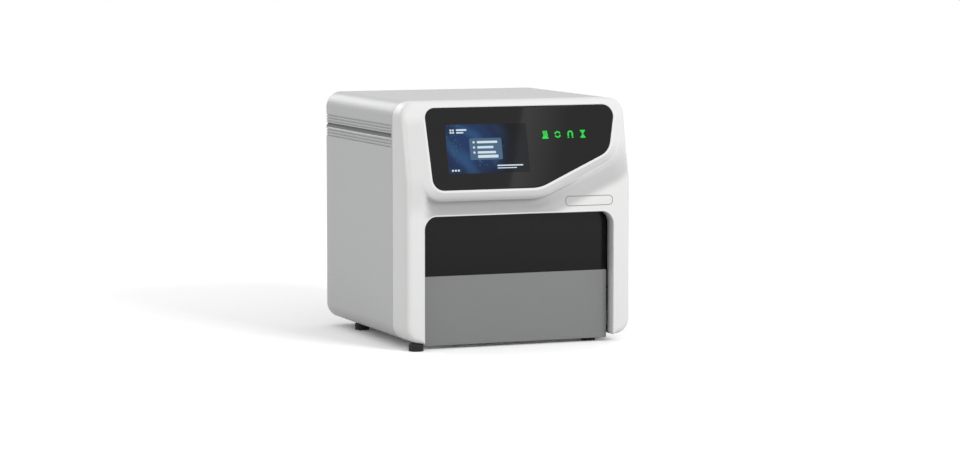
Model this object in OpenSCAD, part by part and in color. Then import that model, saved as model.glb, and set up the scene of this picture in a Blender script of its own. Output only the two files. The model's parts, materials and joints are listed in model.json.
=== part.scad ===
// Bench-top nucleic acid extractor: moulded housing with a leaning display pod, a loading drawer
// for three deep-well plates, and a processing head that lifts 48 magnet rods.
// Axes: X to the right, Y to the rear, Z up. The origin is at the bottom centre.

/* [Housing] */
// Overall width
body_w = 424; // [420:1:450]
// Overall depth, from the tip of the brow to the rear edge
body_d = 430; // [428:1:470]
// Height of the housing above its feet
body_h = 415; // [410:1:450]
// Radius of the four long edges
edge_r = 28; // [22:1:34]
// Wall of the moulded housing
wall = 3.5; // [3:0.25:4]
// Depth of the front bezel, from its lower face to the seam
bezel_d = 66; // [60:1:76]
// Gap at the seam between the bezel and the cover
seam_gap = 0.9; // [0.5:0.1:1.5]
// Corner radius where the bezel's front meets its sides
bezel_r = 11; // [8:1:14]
// Inward draft of the bezel's sides, from the seam to the front
bezel_draft = 2; // [1:0.5:2.5]
// Depth of the rear panel inside the cover's rear edge
rear_recess = 4; // [3.5:0.5:6]
// Width of the slot along the underside of the cover
belly_w = 300; // [280:1:320]

/* [Side grooves] */
// Distance of the wide groove's middle below the top
groove_drop = 60.5; // [55:0.5:70]
// Height of the wide groove
groove_w = 8.8; // [7:0.2:10]
// Depth of the wide groove
groove_depth = 2.2; // [1.5:0.1:2.5]
// Height of a thin groove
rib_w = 1.3; // [1:0.1:2]
// Depth of a thin groove
rib_depth = 1.1; // [0.8:0.1:1.5]
// Spacing of the thin grooves
rib_pitch = 5.2; // [4.5:0.1:5.6]
// Thin grooves above the wide one, and below it
rib_count = 3; // [2:1:3]

/* [Display pod] */
// Backward lean of the pod and its glass, in degrees
lean = 14; // [12:0.5:16]
// Reach of the brow in front of the lower face
brow_proud = 7.5; // [6:0.5:9]
// Height of the brow above the underside of the housing
brow_h = 250; // [246:1:256]
// Thickness of the pod behind its face
pod_t = 7; // [6:0.5:8]
// Width of the white rim round the glass
pod_rim = 14; // [10:1:16]
// Thickness of the display glass
glass_t = 2.5; // [2:0.25:3]
// Gap round the glass in its recess
glass_gap = 0.3; // [0.2:0.05:0.5]
// Slope height of the glass's lower edge above the brow
glass_low = 14.2; // [12:0.2:16]
// Slope height of the glass's upper edge above the brow
glass_high = 158.6; // [150:0.2:160]
// Lower left corner of the glass, from the middle
glass_left_low = 161.5; // [155:0.5:166]
// Upper left corner of the glass, from the middle
glass_left_high = 167; // [160:0.5:172]
// Upper right corner of the glass, from the middle
glass_right_high = 191.5; // [185:0.5:194]
// Right end of the slanted cut, from the middle
glass_cut_right = 172.3; // [165:0.5:178]
// Slope height of the right end of the slanted cut
glass_cut_high = 75.2; // [70:0.5:80]
// Left end of the slanted cut, from the middle
glass_cut_left = 36; // [25:0.5:45]
// Visible width of the screen
screen_w = 154; // [150:1:156]
// Visible height of the screen
screen_h = 87; // [84:1:90]
// Middle of the screen, to the left of the middle
screen_x = 56; // [50:1:60]
// Slope height of the screen's middle
screen_y = 85.7; // [83:0.5:90]
// First status lamp, from the middle
lamp_x = 54; // [50:1:58]
// Slope height of the status lamps
lamp_y = 107; // [100:1:112]
// Spacing of the status lamps
lamp_pitch = 23.8; // [20:0.2:25]
// Number of status lamps
lamp_count = 4; // [3:1:4]

/* [Opening and window] */
// Width of the opening
opening_w = 353; // [348:1:356]
// Height of the opening above the underside of the housing
opening_h = 218; // [210:1:224]
// Upper corner radius of the opening
opening_r = 22; // [16:1:26]
// Depth from the lower face to the drawer front
setback = 22.5; // [20:0.5:24]
// Thickness of the wall round the opening
reveal_t = 4; // [3:0.5:5]
// Thickness of the tinted window
window_t = 5; // [4:0.5:6]
// Overlap of the window behind the opening's edge
window_lap = 7; // [5:0.5:9]
// Strip of the window that is hidden behind the drawer front
window_drop = 34; // [30:1:36]
// Length of the ultraviolet lamp behind the window
lamp_len = 280; // [270:1:290]

/* [Drawer] */
// Width of the drawer front
front_w = 347; // [342:1:349]
// Thickness of the drawer front
front_t = 3.5; // [3:0.5:4]
// Height of the drawer front's upper edge above the underside of the housing
front_h = 113; // [108:1:118]
// Reach of the drawer front below the underside of the housing
front_drop = 7.6; // [6:0.2:9]
// Gap between the drawer front and the window
front_gap = 0.5; // [0.4:0.1:0.8]
// Travel of the drawer
drawer_travel = 185; // [170:1:190]
// Thickness of the tray's sheet
tray_t = 2; // [1.5:0.25:2.5]
// Width of the tray
tray_w = 320; // [316:1:322]
// Height of the tray's walls
tray_h = 34; // [32:1:36]
// Gap under the tray
tray_lift = 3.5; // [3:0.5:5]
// Length of the tray
tray_len = 178; // [174:1:186]

/* [Plate deck] */
// Width of a deep-well plate's pocket
pocket_w = 86.5; // [86.2:0.1:87]
// Length of a deep-well plate's pocket
pocket_len = 128.8; // [128.4:0.1:129.4]
// Spacing of the pockets
pocket_pitch = 92; // [91:0.5:94]
// Number of pockets
pocket_count = 3; // [2:1:3]
// Thickness of a heater block
heater_t = 12; // [10:0.5:14]
// Gap round a heater block
heater_gap = 0.8; // [0.5:0.1:1.2]
// Depth of the pockets above the heater blocks
pocket_depth = 8; // [7:0.5:8.5]
// Rim of the deck round its pockets
deck_rim = 8; // [6:0.5:9]
// Distance from the window to the deck
deck_back = 14; // [12:0.5:18]

/* [Rack and pinion] */
// Tooth module
gear_module = 1.2; // [1.2:0.1:1.2]
// Teeth of the pinion
pinion_teeth = 18; // [18:1:20]
// Face width of the pinion
pinion_w = 7; // [6:0.5:8]
// Backlash at the pitch line
backlash = 0.25; // [0.2:0.05:0.4]
// Height of the rack below its pitch line
rack_h = 6; // [5:0.5:7]
// Width of the rack
rack_w = 8; // [7:0.5:8]
// Distance of the pinion behind the window
pinion_back = 26; // [24:1:32]

/* [Processing head] */
// Spacing of the wells
well_pitch = 9; // [9:1:9]
// Wells across a plate
well_rows = 8; // [8:1:8]
// Wells along a plate
well_cols = 12; // [12:1:12]
// Diameter of a magnet rod
rod_d = 5; // [4:0.5:5.5]
// Length of a magnet rod
rod_len = 96; // [92:1:98]
// Diameter of the holes that the rods pass through
sleeve_hole_d = 8; // [7:0.2:8.4]
// Distance from the top of the housing to the underside of the sleeve frame
head_drop = 281; // [277:1:283]
// Thickness of the sleeve frame
sleeve_t = 6; // [5:0.5:7]
// Thickness of the magnet carrier
carrier_t = 7; // [6:0.5:8]
// Gap from the sleeve frame to the tips of the parked rods
rod_park = 4; // [3:0.5:6]
// Travel of the lift
lift_travel = 50; // [46:1:50]
// Travel of the magnets inside the lift
magnet_travel = 60; // [50:1:60]
// Travel of the gantry, five well spacings
gantry_travel = 45; // [45:1:45]
// Height of the magnet stage, from the sleeve frame to its top plate
stage_h = 142; // [140:1:150]
// Diameter of the guide shafts
shaft_d = 8; // [6:0.5:8]
// Diameter of the lead screws
screw_d = 8; // [6:0.5:8]
// Width across a stepper motor
motor_w = 42; // [40:0.5:42.3]
// Length of a stepper motor
motor_len = 34; // [30:1:38]
// Length of the flat stepper motor that drives the drawer
flat_motor_len = 20; // [18:1:21]
// Width of a linear rail
rail_w = 12; // [10:0.5:12]
// Height of a linear rail
rail_h = 8; // [7:0.5:8]
// Running gap of the rail blocks
rail_gap = 0.3; // [0.2:0.05:0.4]

/* [Frame and rear] */
// Thickness of the base plate
base_t = 3; // [2.5:0.5:4]
// Distance between the outer faces of the frame plates
frame_w = 368; // [366:1:368]
// Thickness of a frame plate
frame_t = 4; // [3:0.5:4]
// Height of the frame plates
frame_h = 280; // [275:1:290]
// Distance from the window to the bulkhead
bulkhead_back = 251; // [249:1:256]
// Thickness of the sheet metal panels
sheet_t = 2; // [1.5:0.25:2.5]
// Width of the exhaust fan
fan_w = 92; // [80:1:94]
// Depth of the exhaust fan
fan_d = 25; // [20:1:28]
// Blades of the fan
fan_blades = 7; // [5:1:9]
// Distance of the fan to the left of the middle, seen from the front
fan_x = 105; // [90:1:115]
// Distance of the fan's middle below the top
fan_drop = 95; // [85:1:115]
// Distance of the mains inlet to the left of the middle, seen from the front
inlet_x = 145; // [140:1:150]
// Height of the mains inlet and the ports above the underside of the housing
inlet_z = 60; // [55:1:70]
// Distance from the mains inlet up to the power switch
switch_rise = 46; // [44:1:60]
// Length of the power supply
supply_l = 200; // [180:1:205]
// Depth of the power supply
supply_d = 108; // [98:1:112]
// Height of the power supply
supply_h = 32; // [28:1:36]
// Height of the main board
main_board_h = 120; // [110:1:125]
// Width of the main board
main_board_w = 180; // [160:1:185]
// Height of the driver board
driver_board_h = 72; // [64:1:76]
// Width of the driver board
driver_board_w = 160; // [150:1:170]
// Distance of the boards from the bulkhead
standoff = 6; // [5:0.5:8]

/* [Feet] */
// Height of the feet
foot_h = 14; // [12:0.5:16]
// Diameter of the feet
foot_d = 26; // [24:1:28]

/* [Hidden] */
$fn = 48;

white = [0.91, 0.92, 0.92];
cover_grey = [0.80, 0.81, 0.81];
panel_grey = [0.47, 0.48, 0.48];
black = [0.09, 0.09, 0.09];
glass_black = [0.05, 0.05, 0.06];
metal = [0.72, 0.73, 0.75];
zinc = [0.62, 0.64, 0.66];
dark_metal = [0.25, 0.26, 0.28];
board_green = [0.08, 0.33, 0.20];

over = 1;                       // overshoot of the cuts
low_z = foot_h;                 // underside of the housing
top_z = foot_h + body_h;
tip_y = -body_d / 2;
rear_y = body_d / 2;
face_y = tip_y + brow_proud;    // lower face of the bezel
seam_y = face_y + bezel_d;
half_w = body_w / 2;
brow_z = low_z + brow_h;
floor_z = low_z + wall;         // inside of the housing's underside
base_z = floor_z + base_t;      // upper face of the base plate

opening_z = low_z + opening_h;
front_y = face_y + setback;     // face of the drawer front
window_y = front_y + front_t + front_gap;
window_back = window_y + window_t;
front_z = low_z + front_h;
window_low = front_z - window_drop;

frame_y = window_back + 1;
frame_in = frame_w / 2 - frame_t;
bulkhead_y = window_back + bulkhead_back;
panel_y = rear_y - rear_recess - sheet_t;

tray_z = base_z + tray_lift;
tray_y = front_y + front_t;
deck_z = tray_z + tray_t;
heater_z = deck_z + heater_t;
deck_top = heater_z + pocket_depth;
deck_w = pocket_pitch * (pocket_count - 1) + pocket_w + 2 * deck_rim;
deck_len = pocket_len + 2 * deck_rim;
deck_y = window_back + deck_back;
pocket_y = deck_y + deck_len / 2;         // middle of the pockets
pocket_xs = [for (i = [0:pocket_count - 1]) (i - (pocket_count - 1) / 2) * pocket_pitch];

pitch_r = gear_module * pinion_teeth / 2;
rack_z = tray_z + tray_h;       // underside of the rack
pitch_z = rack_z + rack_h;
pinion_y = window_back + pinion_back;
pinion_z = pitch_z + pitch_r;
rack_x = -tray_w / 2 - rack_w;
tooth_pitch = PI * gear_module;

// Telescopic slides, from the tray outwards
slide_t = 1.5;
slide_len = 240;

rod_rows = [-(well_cols / 2 - 0.5) * well_pitch, well_pitch / 2];
row_park = gantry_travel;                 // the rods park over the last of six columns
sleeve_z = top_z - head_drop;
sleeve_top = sleeve_z + sleeve_t;
rod_tip = sleeve_top + rod_park;
carrier_z = rod_tip + rod_len;
stage_z = sleeve_top + stage_h;
rods_front = pocket_y + rod_rows[0] + row_park;
rods_back = pocket_y + rod_rows[1] + row_park;
rods_mid = (rods_front + rods_back) / 2;
head_w = pocket_pitch * (pocket_count - 1) + well_pitch * well_rows + 26;
head_front = rods_front - 12;
lift_y = rods_back + 27.5;                // front face of the lift plate
lift_t = 6;
lift_w = 190;
rail_x = 70;
gantry_y = lift_y + lift_t + 14;          // front face of the gantry plate
gantry_t = 6;
block_rise = 20;                          // lower rail blocks above the sleeve frame
gantry_low = sleeve_top + block_rise - lift_travel - 6;
gantry_high = stage_z + 52;
gantry_w = 2 * (frame_in - rail_h - 7);
screw_y = gantry_y - 7;
y_rail_z = sleeve_z + 56;
y_screw_x = 150;
y_screw_z = sleeve_z + 34;
nut_w = 24;
fit = 0.05;                               // radial clearance of a running fit

function unit(v) = v / norm(v);

// Arc that rounds the corner p between its neighbours a and b
function arc_at(a, p, b, r, n) = r <= 0 ? [p] : let (
    u = unit(a - p), w = unit(b - p), half = acos(u * w) / 2,
    c = p + unit(u + w) * r / sin(half),
    s = p + u * r / tan(half) - c, e = p + w * r / tan(half) - c,
    a0 = atan2(s.y, s.x), turn = (atan2(e.y, e.x) - a0 + 540) % 360 - 180)
    [for (i = [0:n]) c + r * [cos(a0 + turn * i / n), sin(a0 + turn * i / n)]];

// Polygon with a radius at each corner
function rounded(pts, radii, n = 8) = [for (i = [0:len(pts) - 1])
    each arc_at(pts[(i + len(pts) - 1) % len(pts)], pts[i], pts[(i + 1) % len(pts)], radii[i], n)];

module block(lo, hi) {
    translate(lo) cube(hi - lo);
}

module both_sides() {
    children();
    mirror([1, 0, 0]) children();
}

// Profile in X and Z, extruded from y0 to y1
module along_y(y0, y1) {
    translate([0, y1, 0]) rotate([90, 0, 0]) linear_extrude(y1 - y0) children();
}

// Profile in Y and Z, extruded across the width w
module along_x(w, x = 0) {
    translate([x - w / 2, 0, 0]) rotate([90, 0, 90]) linear_extrude(w) children();
}

module rod_y(d, x, z, y0, y1) {
    translate([x, y0, z]) rotate([-90, 0, 0]) cylinder(d = d, h = y1 - y0);
}

module rod_x(d, y, z, x0, x1) {
    translate([x0, y, z]) rotate([0, 90, 0]) cylinder(d = d, h = x1 - x0);
}

module rod_z(d, x, y, z0, z1) {
    translate([x, y, z0]) cylinder(d = d, h = z1 - z0);
}

module soft_square(w, h, r) {
    square([w - 2 * r, h], center = true);
    square([w, h - 2 * r], center = true);
    for (sx = [-1, 1], sy = [-1, 1])
        translate([sx * (w / 2 - r), sy * (h / 2 - r)]) circle(r);
}

// Outline of the housing seen from the front, drawn in by i
module outline(i = 0) {
    translate([0, low_z + body_h / 2]) soft_square(body_w - 2 * i, body_h - 2 * i, edge_r - i);
}

// Frame of the pod's face: x to the right, y up the slope, z out of the face
module on_pod() {
    translate([0, tip_y, brow_z]) rotate([90 - lean, 0, 0]) children();
}

// Outline of the glass in the pod's frame, grown by g
module glass_outline(g = 0) {
    polygon(rounded([
        [-glass_left_high - g, glass_high + g], [-glass_left_low - g, glass_low - g],
        [glass_cut_left + g / 4, glass_low - g], [glass_cut_right + g, glass_cut_high - g / 2],
        [glass_right_high + g, glass_high + g]],
        [18 + g, 20 + g, 70 + g, 35 + g, 20 + g]));
}

// Side profile of the bezel in Y and Z, drawn in by i: upright below, leaning above
function bezel_side(i, back) = let (
    slope = tan(lean), shift = i / cos(lean), y = face_y + i, top = top_z - i,
    crease = brow_z + (y - tip_y - shift) / slope,
    top_y = tip_y + (top - brow_z) * slope + shift)
    rounded([[back, low_z + i], [y, low_z + i], [y, crease], [top_y, top], [back, top]],
        [0, 6 - i, 60, 12 - i, 0]);

// Plan of the bezel, as a distance behind its face: drafted sides and rounded corners
function bezel_plan(i) = let (side = half_w - i, front = half_w - bezel_draft - i)
    rounded([[-side, bezel_d], [-front, i], [front, i], [side, bezel_d], [side, 160], [-side, 160]],
        [0, bezel_r - i, bezel_r - i, 0, 0, 0]);

crease_z = brow_z + brow_proud / tan(lean);

// Solid form of the bezel, drawn in by i
module bezel_form(i, back) {
    intersection() {
        along_y(tip_y - over, back) outline(i);
        along_x(body_w) polygon(bezel_side(i, back));
        union() {
            translate([0, face_y, low_z - over]) linear_extrude(crease_z - low_z + 2 * over)
                polygon(bezel_plan(i));
            on_pod() translate([0, (crease_z - brow_z) / cos(lean), 0]) rotate([-90, 0, 0])
                linear_extrude(body_h) polygon(bezel_plan(i));
        }
    }
}

// Opening in X and Z, grown by g, open at the bottom
module opening_outline(g = 0, low = low_z) {
    x = opening_w / 2 + g;
    r = opening_r + g;
    polygon(rounded([[-x, low], [-x, opening_z + g], [x, opening_z + g], [x, low]], [0, r, r, 0]));
}

module on_screen() {
    on_pod() translate([-screen_x, screen_y, 0]) children();
}

module at_lamps() {
    for (i = [0:lamp_count - 1]) on_pod() translate([lamp_x + i * lamp_pitch, lamp_y, 0]) children();
}

module front_bezel() {
    color(white) difference() {
        union() {
            bezel_form(0, seam_y);
            intersection() {
                on_pod() translate([0, 0, -2 * pod_t]) linear_extrude(2 * pod_t)
                    glass_outline(pod_rim);
                block([-half_w + bezel_r, tip_y - over, low_z], [half_w - bezel_r, seam_y, crease_z]);
            }
        }
        difference() {
            bezel_form(wall, seam_y + over);
            on_pod() translate([0, 0, -pod_t]) linear_extrude(pod_t) glass_outline(pod_rim);
            along_y(face_y, window_y) opening_outline(reveal_t);
        }
        along_y(tip_y - over, seam_y + over) opening_outline(0, low_z - over);
        on_pod() translate([0, 0, -glass_t]) linear_extrude(glass_t + over) glass_outline(glass_gap);
        on_screen() cube([screen_w + 14, screen_h + 14, 6 * pod_t], center = true);
        at_lamps() translate([0, 0, -2 * pod_t]) cylinder(d = 12, h = 2 * pod_t);
    }
}

module display_glass() {
    color(glass_black) on_pod() translate([0, 0, -glass_t]) linear_extrude(glass_t) glass_outline();
}

module screen_module() {
    panel_t = 5;
    color(dark_metal) on_screen() {
        translate([0, 0, -glass_t - panel_t / 2])
            cube([screen_w + 12, screen_h + 12, panel_t], center = true);
        translate([0, 0, -glass_t - panel_t - 4]) cube([120, 70, 2], center = true);
        for (x = [-1, 1], y = [-1, 1])
            translate([x * 52, y * 28, -glass_t - panel_t - 3]) cylinder(d = 6, h = 3);
    }
}

module lamp_board() {
    strip = lamp_pitch * (lamp_count - 1) + 22;
    color(board_green) on_pod()
        translate([lamp_x - 11, lamp_y - 11, -pod_t - 1.6]) cube([strip, 22, 1.6]);
    color(board_green) at_lamps() translate([-2.5, -2.5, -pod_t]) cube([5, 5, 2.5]);
}

module housing_cover() {
    groove_z = top_z - groove_drop;
    color(cover_grey) difference() {
        along_y(seam_y + seam_gap, rear_y) outline();
        along_y(seam_y, rear_y + over) outline(wall);
        block([-belly_w / 2, seam_y, low_z - over], [belly_w / 2, rear_y + over, floor_z + over]);
        both_sides() {
            block([half_w - groove_depth, seam_y, groove_z - groove_w / 2],
                [half_w + over, rear_y + over, groove_z + groove_w / 2]);
            for (i = [0:rib_count - 1], s = [-1, 1]) {
                z = groove_z + s * (groove_w / 2 + 3.6 + i * rib_pitch);
                block([half_w - rib_depth, seam_y, z - rib_w / 2],
                    [half_w + over, rear_y + over, z + rib_w / 2]);
            }
        }
    }
}

module view_window() {
    x = opening_w / 2 + window_lap;
    color(black) along_y(window_y, window_back)
        polygon(rounded([[-x, window_low], [-x, opening_z + window_lap],
            [x, opening_z + window_lap], [x, window_low]], [4, 10, 10, 4]));
}

module base_plate() {
    x = opening_w / 2 - 0.5;
    color(metal) difference() {
        union() {
            block([-frame_w / 2, frame_y, floor_z], [frame_w / 2, panel_y, base_z]);
            block([-x, frame_y, low_z], [x, seam_y, floor_z]);
        }
        for (i = [-4:4]) translate([i * 14 + 40, 140, floor_z - over])
            linear_extrude(base_t + 2 * over) soft_square(5, 60, 2.4);
    }
}

module frame_plate() {
    block([frame_in, frame_y, base_z], [frame_w / 2, bulkhead_y, base_z + frame_h]);
}

module left_frame() {
    color(metal) difference() {
        mirror([1, 0, 0]) frame_plate();
        rod_x(23, pinion_y, pinion_z, -frame_w / 2 - over, -frame_in + over);
    }
}

module right_frame() {
    color(metal) frame_plate();
}

module bulkhead() {
    color(metal) difference() {
        block([-frame_w / 2, bulkhead_y, base_z],
            [frame_w / 2, bulkhead_y + sheet_t, base_z + frame_h]);
        rod_y(23, y_screw_x, y_screw_z, bulkhead_y - over, bulkhead_y + sheet_t + over);
        rod_y(26, -y_screw_x, base_z + frame_h - 40, bulkhead_y - over, bulkhead_y + sheet_t + over);
    }
}

fan_cx = -fan_x;
fan_cz = top_z - fan_drop;
inlet_cx = -inlet_x;
inlet_cz = low_z + inlet_z;
switch_cz = inlet_cz + switch_rise;
ports = [[60, 14, 7], [90, 12.5, 11.5], [122, 16.5, 14]];    // middle, width, height
port_z = low_z + inlet_z;
flange_y = panel_y + sheet_t;
flange_t = 2.5;

module rear_panel() {
    color(cover_grey) difference() {
        along_y(panel_y, flange_y) outline(wall + 0.3);
        rod_y(fan_w - 6, fan_cx, fan_cz, panel_y - over, flange_y + over);
        block([inlet_cx - 17, panel_y - over, inlet_cz - 22],
            [inlet_cx + 17, flange_y + over, inlet_cz + 22]);
        block([inlet_cx - 7.5, panel_y - over, switch_cz - 12],
            [inlet_cx + 7.5, flange_y + over, switch_cz + 12]);
        for (p = ports) block([p[0] - p[1] / 2 - 0.3, panel_y - over, port_z - p[2] / 2 - 0.3],
            [p[0] + p[1] / 2 + 0.3, flange_y + over, port_z + p[2] / 2 + 0.3]);
        for (i = [0:13], j = [0:1])
            along_y(panel_y - over, flange_y + over)
                translate([30 + i * 9, fan_cz + (j - 0.5) * 44]) soft_square(3.6, 36, 1.7);
    }
}

module foot(x, y, top) {
    translate([x, y, 0]) cylinder(d = foot_d, h = low_z - 2);
    translate([x, y, low_z - 2]) cylinder(d = foot_d - 5, h = top - low_z + 2);
}

module rubber_feet() {
    color(black) {
        foot(-half_w + 25, face_y + 17.5, low_z);
        foot(half_w - 64, frame_y + foot_d / 2, low_z);
        foot(-half_w + 36, rear_y - 94, low_z);
        foot(half_w - 36, rear_y - 94, low_z);
    }
}

module fan_frame() {
    hub_y = panel_y - fan_d;
    color(black) difference() {
        along_y(hub_y, panel_y) translate([fan_cx, fan_cz]) soft_square(fan_w, fan_w, 5);
        rod_y(fan_w - 5, fan_cx, fan_cz, hub_y - over, panel_y + over);
    }
    color(black) rod_y(30, fan_cx, fan_cz, hub_y, hub_y + 3);
    color(black) for (a = [45:90:315]) translate([fan_cx, hub_y, fan_cz]) rotate([0, a, 0])
        block([0, 0.5, -2], [fan_w / 2 - 1, 2.5, 2]);
    color(metal) rod_y(4, fan_cx, fan_cz, hub_y + 1, panel_y - 6);
}

module fan_rotor() {
    y0 = panel_y - fan_d + 4;
    y1 = panel_y - 2;
    color(black) difference() {
        rod_y(32, fan_cx, fan_cz, y0, y1);
        rod_y(4 + 2 * fit, fan_cx, fan_cz, y0 - over, panel_y - 6 + 0.3);
    }
    color(black) intersection() {
        difference() {
            rod_y(fan_w - 8, fan_cx, fan_cz, y0, y1);
            rod_y(31.6, fan_cx, fan_cz, y0 - over, y1 + over);
        }
        for (i = [0:fan_blades - 1]) translate([fan_cx, (y0 + y1) / 2, fan_cz])
            rotate([0, i * 360 / fan_blades, 0]) rotate([40, 0, 0])
                translate([0, -0.9, -14]) cube([fan_w / 2, 1.8, 28]);
    }
}

module fan_guard() {
    wire = 1.8;
    color(zinc) translate([fan_cx, flange_y, fan_cz]) rotate([-90, 0, 0]) {
        for (r = [10:8:fan_w / 2 - 3]) translate([0, 0, wire * 1.3])
            rotate_extrude() translate([r, 0]) circle(d = wire, $fn = 16);
        for (a = [45:90:315]) rotate(a) {
            translate([8, -wire / 2, 0]) cube([fan_w / 2 + 8, wire, wire]);
            translate([fan_w / 2 + 13, 0, 0]) cylinder(d = 9, h = wire);
        }
    }
}

module mains_inlet() {
    color(black) difference() {
        union() {
            block([inlet_cx - 25, flange_y, inlet_cz - 24],
                [inlet_cx + 25, flange_y + flange_t, inlet_cz + 24]);
            block([inlet_cx - 16.5, panel_y - 24, inlet_cz - 21.5],
                [inlet_cx + 16.5, flange_y, inlet_cz + 21.5]);
        }
        block([inlet_cx - 12.3, panel_y - 14, inlet_cz - 1],
            [inlet_cx + 12.3, rear_y, inlet_cz + 16]);
        block([inlet_cx - 13.5, panel_y - 18, inlet_cz - 17],
            [inlet_cx + 13.5, rear_y, inlet_cz - 7]);
    }
    color(metal) for (p = [[-7, 5], [0, 10], [7, 5]])
        block([inlet_cx + p[0] - 1, panel_y - 14, inlet_cz + p[1] - 2],
            [inlet_cx + p[0] + 1, panel_y - 2, inlet_cz + p[1] + 2]);
}

module fuse_drawer() {
    gap = 0.3;
    color(dark_metal) {
        block([inlet_cx - 13.5 + gap, panel_y - 18 + gap, inlet_cz - 17 + gap],
            [inlet_cx + 13.5 - gap, flange_y + flange_t, inlet_cz - 7 - gap]);
        block([inlet_cx - 4, flange_y + flange_t, inlet_cz - 9.3],
            [inlet_cx + 4, flange_y + flange_t + 1, inlet_cz - 7 - gap]);
    }
}

rocker_y = flange_y - 3;
rocker_w = 11;

module switch_housing() {
    color(black) difference() {
        union() {
            block([inlet_cx - 10.5, flange_y, switch_cz - 15],
                [inlet_cx + 10.5, flange_y + 1.5, switch_cz + 15]);
            block([inlet_cx - 7.2, panel_y - 18, switch_cz - 11.7],
                [inlet_cx + 7.2, flange_y, switch_cz + 11.7]);
        }
        block([inlet_cx - rocker_w / 2 - 0.3, rocker_y - 8, switch_cz - 10.6],
            [inlet_cx + rocker_w / 2 + 0.3, rear_y, switch_cz + 10.6]);
        rod_x(3 + 2 * fit, rocker_y, switch_cz, inlet_cx - 6.8, inlet_cx + 6.8);
    }
}

module power_rocker() {
    color(dark_metal) translate([0, rocker_y, switch_cz]) rotate([-10, 0, 0]) {
        along_x(rocker_w, inlet_cx)
            polygon([[3.4, 0], [5.4, 9.2], [-2.5, 9.2], [-5, 4], [-5, -4], [-2.5, -9.2], [5.4, -9.2]]);
        rod_x(3, 0, 0, inlet_cx - 6.6, inlet_cx + 6.6);
    }
}

module data_ports() {
    color(zinc) for (p = ports) difference() {
        block([p[0] - p[1] / 2, panel_y - 14, port_z - p[2] / 2],
            [p[0] + p[1] / 2, flange_y + 1.5, port_z + p[2] / 2]);
        block([p[0] - p[1] / 2 + 0.9, panel_y - 12, port_z - p[2] / 2 + 0.9],
            [p[0] + p[1] / 2 - 0.9, rear_y, port_z + p[2] / 2 - 0.9]);
    }
    color(board_green) block([45, panel_y - 16, port_z - 16], [135, panel_y - 14, port_z + 12]);
}

terminal_x = 105;                         // side of the power supply with its terminals

module power_supply() {
    y0 = bulkhead_y + sheet_t + standoff + 8;
    y1 = y0 + supply_d;
    x0 = terminal_x - supply_l;
    top = base_z + supply_h;
    skin = 1.5;
    slot_pitch = supply_l / 20;
    color(zinc) difference() {
        block([x0, y0, base_z], [terminal_x, y1, top]);
        block([x0 + skin, y0 + skin, base_z + skin], [terminal_x - skin, y1 - skin, top - skin]);
        for (i = [1:17], j = [0.3, 0.72])
            translate([x0 + i * slot_pitch, y0 + j * supply_d, top - skin - over])
                linear_extrude(skin + 2 * over) soft_square(0.4 * slot_pitch, 0.32 * supply_d, 1.9);
    }
    color(board_green) block([terminal_x, y0 + 4, base_z],
        [terminal_x + 13, y1 - 4, base_z + supply_h / 2]);
}

board_y = bulkhead_y + sheet_t + standoff;     // rear face of the standoffs
board_t = 1.6;

// Circuit board on four standoffs, from its lower left corner
module board(x0, z0, w, h) {
    inset = 6;
    color(board_green) block([x0, board_y, z0], [x0 + w, board_y + board_t, z0 + h]);
    color(metal) for (x = [x0 + inset, x0 + w - inset], z = [z0 + inset, z0 + h - inset])
        rod_y(inset, x, z, bulkhead_y + sheet_t, board_y);
}

// Part on a board, from the lower left corner x, z
module chip(x, z, w, h, t) {
    y = board_y + board_t;
    block([x, y, z], [x + w, y + t, z + h]);
}

main_board_x = -0.61 * main_board_w;
main_board_z = base_z + supply_h + 38;
driver_board_x = -0.62 * driver_board_w;
driver_board_z = main_board_z + main_board_h + 10;

module main_board() {
    board(main_board_x, main_board_z, main_board_w, main_board_h);
    color(dark_metal) {
        chip(main_board_x + 50, main_board_z + 40, 28, 28, 3);
        chip(main_board_x + 110, main_board_z + 50, 20, 20, 2);
        chip(main_board_x + 140, main_board_z + 20, 20, 20, 9);
    }
    color(white) for (i = [0:4])
        chip(main_board_x + main_board_w * (0.04 + 0.18 * i), main_board_z + main_board_h - 14, 22, 8, 8);
}

module driver_board() {
    board(driver_board_x, driver_board_z, driver_board_w, driver_board_h);
    color(dark_metal) for (i = [0:4])
        chip(driver_board_x + driver_board_w * (0.06 + 0.18 * i), driver_board_z + 22, 16, 16, 10);
}

uv_y = window_back + 16;
uv_z = opening_z + 18;

module uv_lamp() {
    color(white) rod_x(15.5, uv_y, uv_z, -lamp_len / 2 + 8, lamp_len / 2 - 8);
    color(metal) both_sides() rod_x(16.4, uv_y, uv_z, lamp_len / 2 - 8, lamp_len / 2);
}

module uv_lamp_holders() {
    color(white) both_sides() difference() {
        block([lamp_len / 2 - 6, uv_y - 9, uv_z - 10], [frame_in, uv_y + 9, uv_z + 14]);
        block([lamp_len / 2 - 6 - over, uv_y - 8.3, uv_z - 10 - over],
            [lamp_len / 2, uv_y + 8.3, uv_z]);
        rod_x(16.4, uv_y, uv_z, lamp_len / 2 - 6 - over, lamp_len / 2);
    }
}

// Drawer

module drawer_front() {
    x = front_w / 2;
    low = low_z - front_drop;
    lip = 5;
    color(panel_grey) {
        along_y(front_y, tray_y) polygon(rounded([[-x, low], [-x, front_z], [x, front_z], [x, low]],
            [2, 1.5, 1.5, 2]));
        both_sides() block([x - 2, tray_y, low + 2], [x, tray_y + lip, window_low - 3]);
        block([-x + 2, tray_y, low + 2], [x - 2, tray_y + lip, low + 4]);
    }
}

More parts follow.
